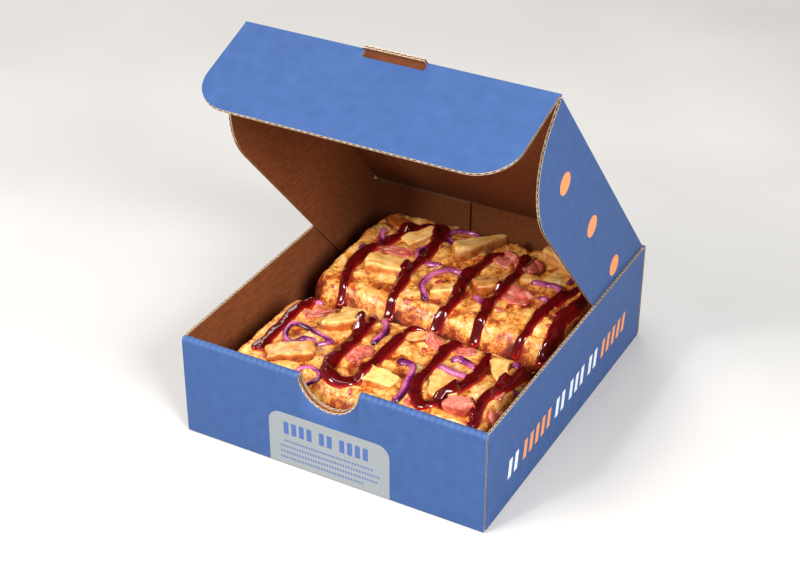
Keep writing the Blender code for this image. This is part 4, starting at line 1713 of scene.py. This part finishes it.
@dataclass
class Rashers(Topping):
    """Thin torn bits of bacon that drape over what is under them."""

    cells: tuple[int, int] = (30, 18)
    float_up: float = 1.5 * MM
    narrowing: float = 0.42
    tear: float = 1.6 * MM
    curl_size: float = 8 * MM
    curl_rise: float = 0.9 * MM
    rim_rise: float = 0.5 * MM

    def make(self, node: str, piece: Piece, seed: float, ground: Ground) -> Thing:
        """Make one rasher as a draped sheet with real thickness."""
        low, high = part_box(node)
        middle = (low + high) / 2.0
        turned = Matrix.Rotation(math.radians(piece.turn), 2)
        along, across = self.cells
        vertices, toast, band = [], [], []
        for i in range(along + 1):
            for j in range(across + 1):
                u, v = 2.0 * i / along - 1.0, 2.0 * j / across - 1.0
                narrow_u = math.sqrt(1.0 - self.narrowing * v * v)
                narrow_v = math.sqrt(1.0 - self.narrowing * u * u)
                flat = Vector((u * narrow_u * piece.length / 2.0 * MM,
                               v * narrow_v * piece.width / 2.0 * MM))
                edge = noise.noise_vector(Vector((u * 1.7, v * 1.7, seed * 5.3)))
                flat += Vector((edge.x, edge.y)) * self.tear * max(abs(u), abs(v)) ** 3
                spot = turned @ flat
                x, y = middle.x + spot.x, middle.y + spot.y
                under = max(ground.height(x, y), ground.height(middle.x, middle.y) - 3.0 * MM)
                curl = noise.noise(Vector((*(flat / self.curl_size), seed)))
                rim = max(abs(u), abs(v)) ** 4
                vertices.append(Vector((x, y, under + self.float_up + self.curl_rise * curl
                                        + self.rim_rise * rim)))
                toast.append(min(1.0, 0.12 + piece.sear * rim * (0.6 + 0.8 * curl)))
                wander = noise.noise(Vector((u * 1.2, v * 4.5, seed * 2.3)))
                band.append(0.9 * wander * abs(wander))
        faces = []
        for i in range(along):
            for j in range(across):
                a = i * (across + 1) + j
                faces.append((a, a + 1, a + across + 2, a + across + 1))
        mesh = bpy.data.meshes.new(node + "_rasher")
        mesh.from_pydata(vertices, [], faces)
        mesh.materials.append(BACON_MEAT.material())
        mesh.shade_smooth()
        add_attribute(mesh, "toast", toast)
        add_attribute(mesh, "band", band)
        sheet = new_object(node + "_rasher", mesh)
        turn_outwards(sheet)
        solid = sheet.modifiers.new("thickness", "SOLIDIFY")
        solid.thickness = piece.height * MM
        solid.offset = -1.0
        bake_modifiers(sheet)
        return sheet


def sideways(route: Sequence[Vector], index: int, closed: bool = False) -> Vector:
    """Direction across a flat route at one of its points, to the left of the way it runs."""
    last = len(route) - 1
    if closed:
        ahead = route[(index + 1) % (last + 1)] - route[index - 1]
    else:
        ahead = route[min(index + 1, last)] - route[max(index - 1, 0)]
    return Vector((-ahead.y, ahead.x)).normalized()


def smooth_route(points: Sequence[Vector], closed: bool, spacing: float) -> list[Vector]:
    """Evenly stepped points on a smooth curve through a route's own points.

    Args:
        points: The route's points.
        closed: Whether it joins up into a ring.
        spacing: Distance between the new points.

    Returns:
        The points along the curve.
    """
    count = len(points)
    route = []
    for index in range(count if closed else count - 1):
        if closed:
            p0, p1, p2, p3 = (points[(index + shift) % count] for shift in (-1, 0, 1, 2))
        else:
            p0, p1 = points[max(index - 1, 0)], points[index]
            p2, p3 = points[index + 1], points[min(index + 2, count - 1)]
        steps = max(1, round((p2 - p1).length / spacing))
        for step in range(steps):
            t = step / steps
            route.append(0.5 * (2.0 * p1 + (p2 - p0) * t
                                + (2.0 * p0 - 5.0 * p1 + 4.0 * p2 - p3) * t ** 2
                                + (3.0 * p1 - p0 - 3.0 * p2 + p3) * t ** 3))
    if not closed:
        route.append(points[-1])
    return route


@dataclass
class Onions(Topping):
    """Strips and rings of red onion, each a ribbed sliver of one layer."""

    slim: dict[int, float]
    width: float = 5.2 * MM
    height: float = 3.4 * MM
    spacing: float = 0.8 * MM
    sides: int = 20

    def make(self, node: str, piece: tuple[bool, tuple[Point2, ...]], seed: float,
             ground: Ground) -> Thing:
        """Make one strip or ring that follows the surface under it."""
        closed, points = piece
        route = smooth_route([Vector(point) * MM for point in points], closed, self.spacing)
        count = len(route)
        raw = [ground.height(place.x, place.y, 0.05) for place in route]
        window = 4
        levels = []
        for index in range(count):
            if closed:
                near = [raw[(index + shift) % count] for shift in range(-window, window + 1)]
            else:
                near = raw[max(0, index - window):index + window + 1]
            levels.append(0.5 * (sum(near) / len(near) + max(near)))
        rings, rind = [], []
        for index, place in enumerate(route):
            end = 1.0
            if not closed:
                near_end = min(index, count - 1 - index) * self.spacing
                end = 0.28 + 0.72 * math.sqrt(smoothstep(-0.4 * MM, 4.5 * MM, near_end))
            side = sideways(route, index, closed)
            sway = noise.noise(Vector((place.x, place.y, seed)) / 0.012)
            share = self.slim.get(seed, 1.0)
            wide = share * self.width * end * (1.0 + 0.3 * sway) / 2.0
            tall = (0.4 + 0.6 * share) * self.height * end * (1.0 - 0.2 * sway) / 2.0
            lean = 0.5 * sway
            ring = []
            for step in range(self.sides):
                angle = 2.0 * math.pi * step / self.sides
                hollow = 0.34 * max(0.0, math.sin(angle)) ** 10
                ridge = 1.0 + 0.06 * math.cos(6.0 * angle + 3.0 * sway) - hollow
                across = wide * math.cos(angle) * ridge
                up = tall * math.sin(angle) * ridge - 0.35 * tall * math.cos(angle) ** 2
                leaned = across * math.cos(lean) - up * math.sin(lean)
                risen = across * math.sin(lean) + up * math.cos(lean)
                spot = place + side * leaned
                ring.append(Vector((spot.x, spot.y, levels[index] + 0.75 * tall + risen)))
                outer = 0.5 + 0.5 * math.cos(angle)
                rind.append(0.26 + 0.6 * outer ** 2 + 0.5 * sway + 0.5 * (1.0 - end)
                            - 0.5 * hollow)
            rings.append(ring)
        strip = loft(node + "_sliver", rings, ONION, closed)
        add_attribute(strip.data, "rind", rind)
        return strip


@dataclass
class Drizzle:
    """Barbecue sauce squeezed over everything in a zigzag."""

    routes: tuple[tuple[tuple[float, float, float], ...], ...]
    width: float = 7.8 * MM
    height: float = 2.7 * MM
    spacing: float = 0.8 * MM
    lanes: int = 15

    def ribbon(self, points: Sequence[Vector], seed: float,
               ground: Ground) -> tuple[list[list[Vector]], list[float]]:
        """Rings of one run of sauce, hugging what is under it.

        Args:
            points: Its route in plan, with how wide it is there as each point's third value.
            seed: Sets its own unevenness.
            ground: What it runs over.

        Returns:
            The rings along the run, and for each of their points how deep the sauce is.
        """
        route = smooth_route([point.xy for point in points], False, self.spacing)
        count = len(route)
        sections = []
        for index, place in enumerate(route):
            near, far = sorted(points, key=lambda item: (place - item.xy).length)[:2]
            gap = (place - near.xy).length
            share = gap / max(1e-9, gap + (place - far.xy).length)
            fullness = near.z * (1.0 - share) + far.z * share
            side = sideways(route, index)
            sway = noise.noise(Vector((place.x, place.y, seed)) / 0.014)
            near_end = min(index, count - 1 - index) * self.spacing
            end = math.sqrt(max(0.03, 1.0 - max(0.0, 1.0 - near_end / (0.62 * self.width)) ** 2))
            half = self.width / 2.0 * (1.0 + 0.22 * sway) * end * fullness
            spots = [place + side * half * (2.0 * lane / (self.lanes - 1) - 1.0)
                     for lane in range(self.lanes)]
            unders = [ground.height(spot.x, spot.y, 0.048) for spot in spots]
            sections.append((spots, unders, end * (1.0 + 0.2 * sway) * (0.5 + 0.5 * fullness)))
        rings, depth = [], []
        reach = 3
        for index, (spots, _, share) in enumerate(sections):
            near = sections[max(0, index - reach):index + reach + 1]
            tops, bottoms = [], []
            for lane, spot in enumerate(spots):
                across = 2.0 * lane / (self.lanes - 1) - 1.0
                under = sum(item[1][lane] for item in near) / len(near)
                dome = math.sqrt(max(0.0, 1.0 - across * across))
                ripple = 0.25 * MM * noise.noise(Vector((spot.x, spot.y, seed)) / 0.005)
                lift = (self.height * share + ripple) * dome
                tops.append(Vector((spot.x, spot.y, under + lift + 0.1 * MM)))
                bottoms.append(Vector((spot.x, spot.y, under - 0.8 * MM)))
                depth.append(lift / self.height)
            depth += [0.0] * self.lanes
            rings.append(tops + list(reversed(bottoms)))
        return rings, depth

    def build(self, ground: Ground) -> None:
        """Make the runs, join them into one object and hand it over.

        Args:
            ground: What the sauce runs over.
        """
        runs = []
        for number, route in enumerate(self.routes):
            points = [Vector((x * MM, y * MM, fullness)) for x, y, fullness in route]
            rings, depth = self.ribbon(points, number + 0.5, ground)
            run = loft(f"sauce_run_{number}", rings, SAUCE)
            add_attribute(run.data, "depth", depth)
            runs.append(run)
        hand_over(join(runs, "sauce_drizzle"), "tray", "barbecue_sauce")


def join(things: Sequence[Thing], name: str) -> Thing:
    """Join plain meshes with one finish into one object.

    Args:
        things: The objects, which are removed.
        name: The joined object's name.

    Returns:
        The joined object.
    """
    shape = bmesh.new()
    for thing in things:
        shape.from_mesh(thing.data)
    mesh = bpy.data.meshes.new(name)
    shape.to_mesh(mesh)
    shape.free()
    mesh.materials.append(things[0].data.materials[0])
    mesh.shade_smooth()
    for thing in things:
        bpy.data.objects.remove(thing)
    return new_object(name, mesh)


@dataclass
class Scatter:
    """Small bits strewn over a slab's top by a geometry tree."""

    name: str
    finish: Finish
    density: float
    smallest: float
    largest: float
    flatness: float
    seed: int
    slot: str
    detail: int = 1

    @staticmethod
    @cache
    def tree() -> Tree:
        """Build the tree that strews bits over upward faces; it is built once."""
        pad, given = new_tree("strewn_bits", {
            "Density": "Float", "Smallest": "Float", "Largest": "Float", "Flatness": "Float",
            "Seed": "Int", "Detail": "Int", "Finish": "Material"})
        normal = pad.add("GeometryNodeInputNormal").outputs[0]
        upward = pad.add("ShaderNodeSeparateXYZ", {"Vector": normal}).outputs["Z"]
        level = pad.add("FunctionNodeCompare", {0: upward, 1: STREWN_SLOPE}, data_type="FLOAT",
                        operation="GREATER_THAN")
        points = pad.add("GeometryNodeDistributePointsOnFaces",
                         {"Mesh": given["Geometry"], "Selection": level,
                          "Density": given["Density"], "Seed": given["Seed"]})
        bit = pad.add("GeometryNodeMeshIcoSphere",
                      {"Radius": 1.0, "Subdivisions": given["Detail"]})
        size = pad.add("FunctionNodeRandomValue",
                       {2: given["Smallest"], 3: given["Largest"], "Seed": given["Seed"]},
                       data_type="FLOAT").outputs[1]
        wide, tall = (pad.math("MULTIPLY", size, share) for share in (0.7, given["Flatness"]))
        scale = pad.add("ShaderNodeCombineXYZ", {"X": size, "Y": wide, "Z": tall})
        spin = pad.add("FunctionNodeRandomValue",
                       {0: (0.0, 0.0, 0.0), 1: (0.0, 0.0, 2.0 * math.pi), "Seed": given["Seed"]},
                       data_type="FLOAT_VECTOR")
        copies = pad.add("GeometryNodeInstanceOnPoints",
                         {"Points": points.outputs["Points"], "Instance": bit.outputs["Mesh"],
                          "Rotation": points.outputs["Rotation"], "Scale": scale})
        spun = pad.add("GeometryNodeRotateInstances",
                       {"Instances": copies, "Rotation": spin})
        return end_tree(pad, spun.outputs[0])

    def build(self, slab: Thing) -> None:
        """Strew the bits over a slab and hand them over.

        Args:
            slab: The slab that they lie on.
        """
        bits = new_object(f"{slab.name}_{self.name}", slab.data.copy())
        run_tree(bits, self.tree(), {
            "Density": self.density, "Smallest": self.smallest, "Largest": self.largest,
            "Flatness": self.flatness, "Seed": self.seed, "Detail": self.detail,
            "Finish": self.finish.material()})
        bits.data.shade_smooth()
        hand_over(bits, "tray", self.slot)


CHICKEN_PIECES = {
    1: Piece(30, 17, 9, 12, sear=0.35), 2: Piece(26, 13, 7, 48, 0.2, 0.3),
    3: Piece(45, 15, 11, 55, 0.7, 0.35), 4: Piece(32, 15, 9, -24, 0.1, 0.3),
    5: Piece(23, 14, 9, 47, 0.1, 0.8), 6: Piece(21, 11, 7, 31, 0.2, 0.3),
    7: Piece(18, 9, 6, 87, sear=1.0), 8: Piece(20, 15, 9, -12, 0.1, 1.0, 4.0),
    9: Piece(28, 13, 9, 33, 0.1, 0.55), 10: Piece(18, 10, 5, 20, sear=0.3),
    11: Piece(32, 18, 10, 31, 0.0, 0.7, 2.5), 12: Piece(26, 15, 7, 2, 0.1, 0.4),
    13: Piece(20, 20, 8, 28, sear=0.5), 14: Piece(28, 14, 8, -58, 0.5, 0.35),
    15: Piece(20, 9, 5, 25, 0.2, 0.8),
}
BACON_CHUNKS = {8: Piece(19, 10, 11, 20, sear=0.3), 9: Piece(13, 9, 6, 65, sear=0.35)}
BACON_RASHERS = {
    1: Piece(26, 9, 2.0, 14, sear=0.5), 2: Piece(15, 17, 1.8, -13, sear=0.3),
    3: Piece(23, 18, 2.0, -27, sear=0.3), 4: Piece(25, 20, 1.8, -20, sear=0.4),
    5: Piece(20, 8, 2.4, 40, sear=0.4), 6: Piece(22, 10, 2.2, 80, sear=0.4),
    7: Piece(13, 9, 2.2, -25, sear=0.6), 10: Piece(7, 5, 2.0, 10, sear=0.3),
    11: Piece(13, 8, 2.2, 32, sear=0.6),
}
ONION_ROUTES = (
    (False, ((-60, 68), (-65, 62), (-70, 68), (-71, 75))),
    (False, ((-74, 42), (-71, 49))),
    (False, ((-33, 71), (-36, 62), (-34, 55), (-28, 48))),
    (False, ((-25, 48), (-17, 48), (-12, 51))),
    (False, ((-2, 7), (-12, 20), (-13, 30), (-9, 41), (-2, 50), (8, 49))),
    (True, ((-5, 86), (-17, 80), (-27, 87), (-24, 97), (-12, 101), (-4, 95))),
    (False, ((25, 27), (32, 22), (41, 16))),
    (False, ((52, 60), (65, 63), (74, 60), (79, 50))),
    (False, ((64, 47), (72, 47))),
    (False, ((76, 70), (78, 79))),
    (True, ((-33, -66), (-43, -63), (-55, -58), (-66, -60), (-65, -72), (-58, -79), (-47, -81),
            (-38, -74))),
    (False, ((-16, -27), (-10, -33), (-7, -42), (-8, -56))),
    (False, ((-30, -21), (-22, -25))),
    (True, ((-37, -104), (-32, -99), (-24, -100), (-19, -105), (-22, -110), (-31, -110))),
    (False, ((16, -65), (25, -65), (30, -70), (33, -84), (36, -98), (34, -106))),
    (False, ((42, -58), (53, -60), (65, -59))),
    (False, ((46, -48), (50, -43), (65, -48))),
    (False, ((82, -33), (91, -36))),
    (False, ((95, -57), (100, -47), (98, -36))),
    (False, ((-73, -31), (-62, -27))),
)
SLIM_ONIONS = {3: 0.8, 6: 0.85, 11: 0.72, 14: 0.58, 2: 0.8, 10: 0.8}
SAUCE_ROUTES = (
    ((-60, -11, 0.8), (-62, 0, 0.9), (-67, 14, 1.0), (-69, 26, 1.35), (-68, 40, 1.15),
     (-63, 57, 0.95), (-58, 70, 1.0), (-55, 79, 1.1), (-50, 88, 1.1), (-42, 94, 1.1),
     (-34, 93, 1.3), (-31, 84, 1.35), (-29, 70, 1.15), (-28, 55, 1.0), (-30, 39, 1.1),
     (-27, 20, 1.15), (-24, 2, 1.0), (-22, -11, 0.9)),
    ((12, -11, 0.9), (15, -2, 1.0), (16, 9, 1.15), (15, 23, 1.2), (10, 38, 1.0), (9, 52, 1.3),
     (12, 69, 1.0), (14, 80, 1.1), (20, 84, 0.85)),
    ((36, 91, 1.2), (38, 82, 1.1), (39, 72, 0.95), (38, 58, 1.0), (39, 40, 1.05), (39, 24, 1.0),
     (42, 8, 1.1), (43, -3, 1.0), (42, -11, 0.85)),
    ((72, -10, 0.85), (75, 2, 1.0), (75, 18, 1.1), (75, 36, 1.2), (77, 50, 1.35), (81, 60, 1.0),
     (86, 70, 0.8), (91, 64, 0.9), (91, 47, 1.1), (90, 30, 1.15), (91, 16, 1.1), (92, 3, 1.1),
     (91, -10, 1.0)),
    ((93, -19, 1.1), (94, -30, 1.2), (92, -41, 1.1), (90, -54, 1.0), (87, -67, 1.1),
     (84, -77, 1.2), (85, -88, 1.1), (88, -99, 1.0), (89, -111, 0.9)),
    ((-69, -24, 1.1), (-73, -38, 1.25), (-74, -54, 1.1), (-73, -68, 1.15), (-73, -81, 1.1),
     (-72, -91, 1.3), (-71, -97, 1.75)),
    ((-23, -26, 1.0), (-23, -40, 1.3), (-21, -60, 1.25), (-22, -71, 1.35), (-22, -84, 1.35),
     (-18, -95, 1.55), (-9, -101, 1.75), (0, -98, 1.6), (3, -89, 1.35), (2, -76, 1.3),
     (3, -64, 1.35), (5, -50, 1.2), (5, -38, 1.15), (8, -28, 1.0), (17, -22, 0.9)),
    ((41, -23, 0.9), (37, -38, 1.05), (38, -55, 0.95), (38, -69, 0.85), (39, -82, 0.95),
     (45, -94, 1.3), (52, -98, 1.35), (58, -93, 1.1), (62, -83, 1.1), (65, -72, 1.1),
     (67, -60, 1.2), (67, -46, 1.15), (64, -33, 1.0), (61, -25, 0.9)),
)


@dataclass
class Pizza:
    """Both slabs with all that lies on them."""

    def build(self) -> None:
        """Make the slabs, the toppings, the sauce and the small bits."""
        ground = Ground()
        slabs = [Slab("pizza_rear", 3.7, top_rise=1.0 * MM).build(ground),
                 Slab("pizza_front", 11.2).build(ground)]
        for slab, node in zip(slabs, ("pizza_rear", "pizza_front")):
            hand_over(slab, "tray", "baked_crust", node)
        for layer in (Chunks("chicken", "roast_chicken", CHICKEN_PIECES, CHICKEN_MEAT),
                      Chunks("bacon", "bacon", BACON_CHUNKS, BACON_MEAT),
                      Rashers("bacon", "bacon", BACON_RASHERS),
                      Onions("onion", "red_onion", dict(enumerate(ONION_ROUTES, 1)), SLIM_ONIONS),
                      Drizzle(SAUCE_ROUTES)):
            layer.build(ground)
        for number, slab in enumerate(slabs):
            for bits in (Scatter("curds", CHEESE, 5200.0, 1.1 * MM, 2.6 * MM, 0.4, 20 + number,
                                 "baked_crust", 2),
                         Scatter("crumbs", TOASTED_CRUMB, 4200.0, 0.3 * MM, 0.8 * MM, 0.5,
                                 40 + number, "baked_crust"),
                         Scatter("bacon_bits", BACON_MEAT, 800.0, 1.4 * MM, 3.4 * MM, 0.35,
                                 80 + number, "bacon", 2),
                         Scatter("pepper", PEPPER_FLECK, 1600.0, 0.2 * MM, 0.45 * MM, 0.7,
                                 60 + number, "baked_crust")):
                bits.build(slab)


# --- studio

@dataclass
class Studio:
    """Pale floor, soft lights and the camera."""

    camera_place: tuple[float, float, float] = (0.4554, -0.8640, 0.6939)
    azimuth: float = 28.72
    elevation: float = 32.11
    lens: float = 77.37
    sensor: float = 36.0

    def light(self, name: str, place: Sequence[float], aim: Sequence[float], size: float,
              power: float, colour: str) -> None:
        """Add one soft square light.

        Args:
            name: The light's name.
            place: Where it stands.
            aim: The point that it faces.
            size: Its side.
            power: Its power in watts.
            colour: Its colour.
        """
        lamp = bpy.data.lights.new(name, "AREA")
        lamp.size = size
        lamp.energy = power
        lamp.color = linear(colour)[:3]
        stand = bpy.data.objects.new(name, lamp)
        bpy.context.scene.collection.objects.link(stand)
        stand.location = place
        stand.rotation_euler = (Vector(aim) - Vector(place)).to_track_quat("-Z", "Y").to_euler()

    def build(self) -> None:
        """Set up the floor, world, lights and camera."""
        scene = bpy.context.scene
        mesh = bpy.data.meshes.new("floor")
        reach, drop = 6.0, -0.4 * MM
        mesh.from_pydata([(-reach, -reach, drop), (reach, -reach, drop), (reach, reach, drop),
                          (-reach, reach, drop)], [], [(0, 1, 2, 3)])
        mesh.materials.append(StudioFloor().material())
        new_object("floor", mesh)
        world = bpy.data.worlds.new("studio")
        world.use_nodes = True
        feed(world.node_tree.nodes["Background"], {"Color": linear("#F4F6FA"), "Strength": 0.17})
        scene.world = world
        aim = (0.0, 0.0, 0.06)
        self.light("key", (-0.70, -1.04, 1.0), aim, 0.5, 14.0, "#FFF6EC")
        self.light("glint", (-0.35, -1.1, 0.9), aim, 0.14, 7.0, "#FFFFFF")
        self.light("fill", (1.1, -0.75, 0.95), aim, 0.6, 29.0, "#FFFFFF")
        self.light("top", (-0.15, -0.1, 1.6), aim, 0.7, 9.0, "#FFFFFF")
        self.light("rim", (-0.9, 1.2, 1.1), (0.0, 0.0, 0.15), 0.9, 9.0, "#FFFFFF")
        camera = bpy.data.cameras.new("camera")
        camera.lens = self.lens
        camera.sensor_width = self.sensor
        camera.clip_start = 0.05
        stand = bpy.data.objects.new("camera", camera)
        scene.collection.objects.link(stand)
        stand.location = self.camera_place
        stand.rotation_euler = [math.radians(angle)
                                for angle in (90.0 - self.elevation, 0.0, self.azimuth)]
        scene.camera = stand
        scene.view_settings.view_transform = "Standard"


def main() -> None:
    """Build the box, the print, the pizza and the studio in order."""
    logging.basicConfig(level=logging.INFO, format="%(message)s")
    noise.seed_set(NOISE_SEED)  # else the vector noise takes its offsets from the clock
    tray = Tray()
    lid = Lid()
    for part in (tray, lid, FrontFlap(lid), Print(tray), Pizza(), Studio()):
        part.build()
        LOG.info("%s done", type(part).__name__)


if __name__ == "__main__":
    main()
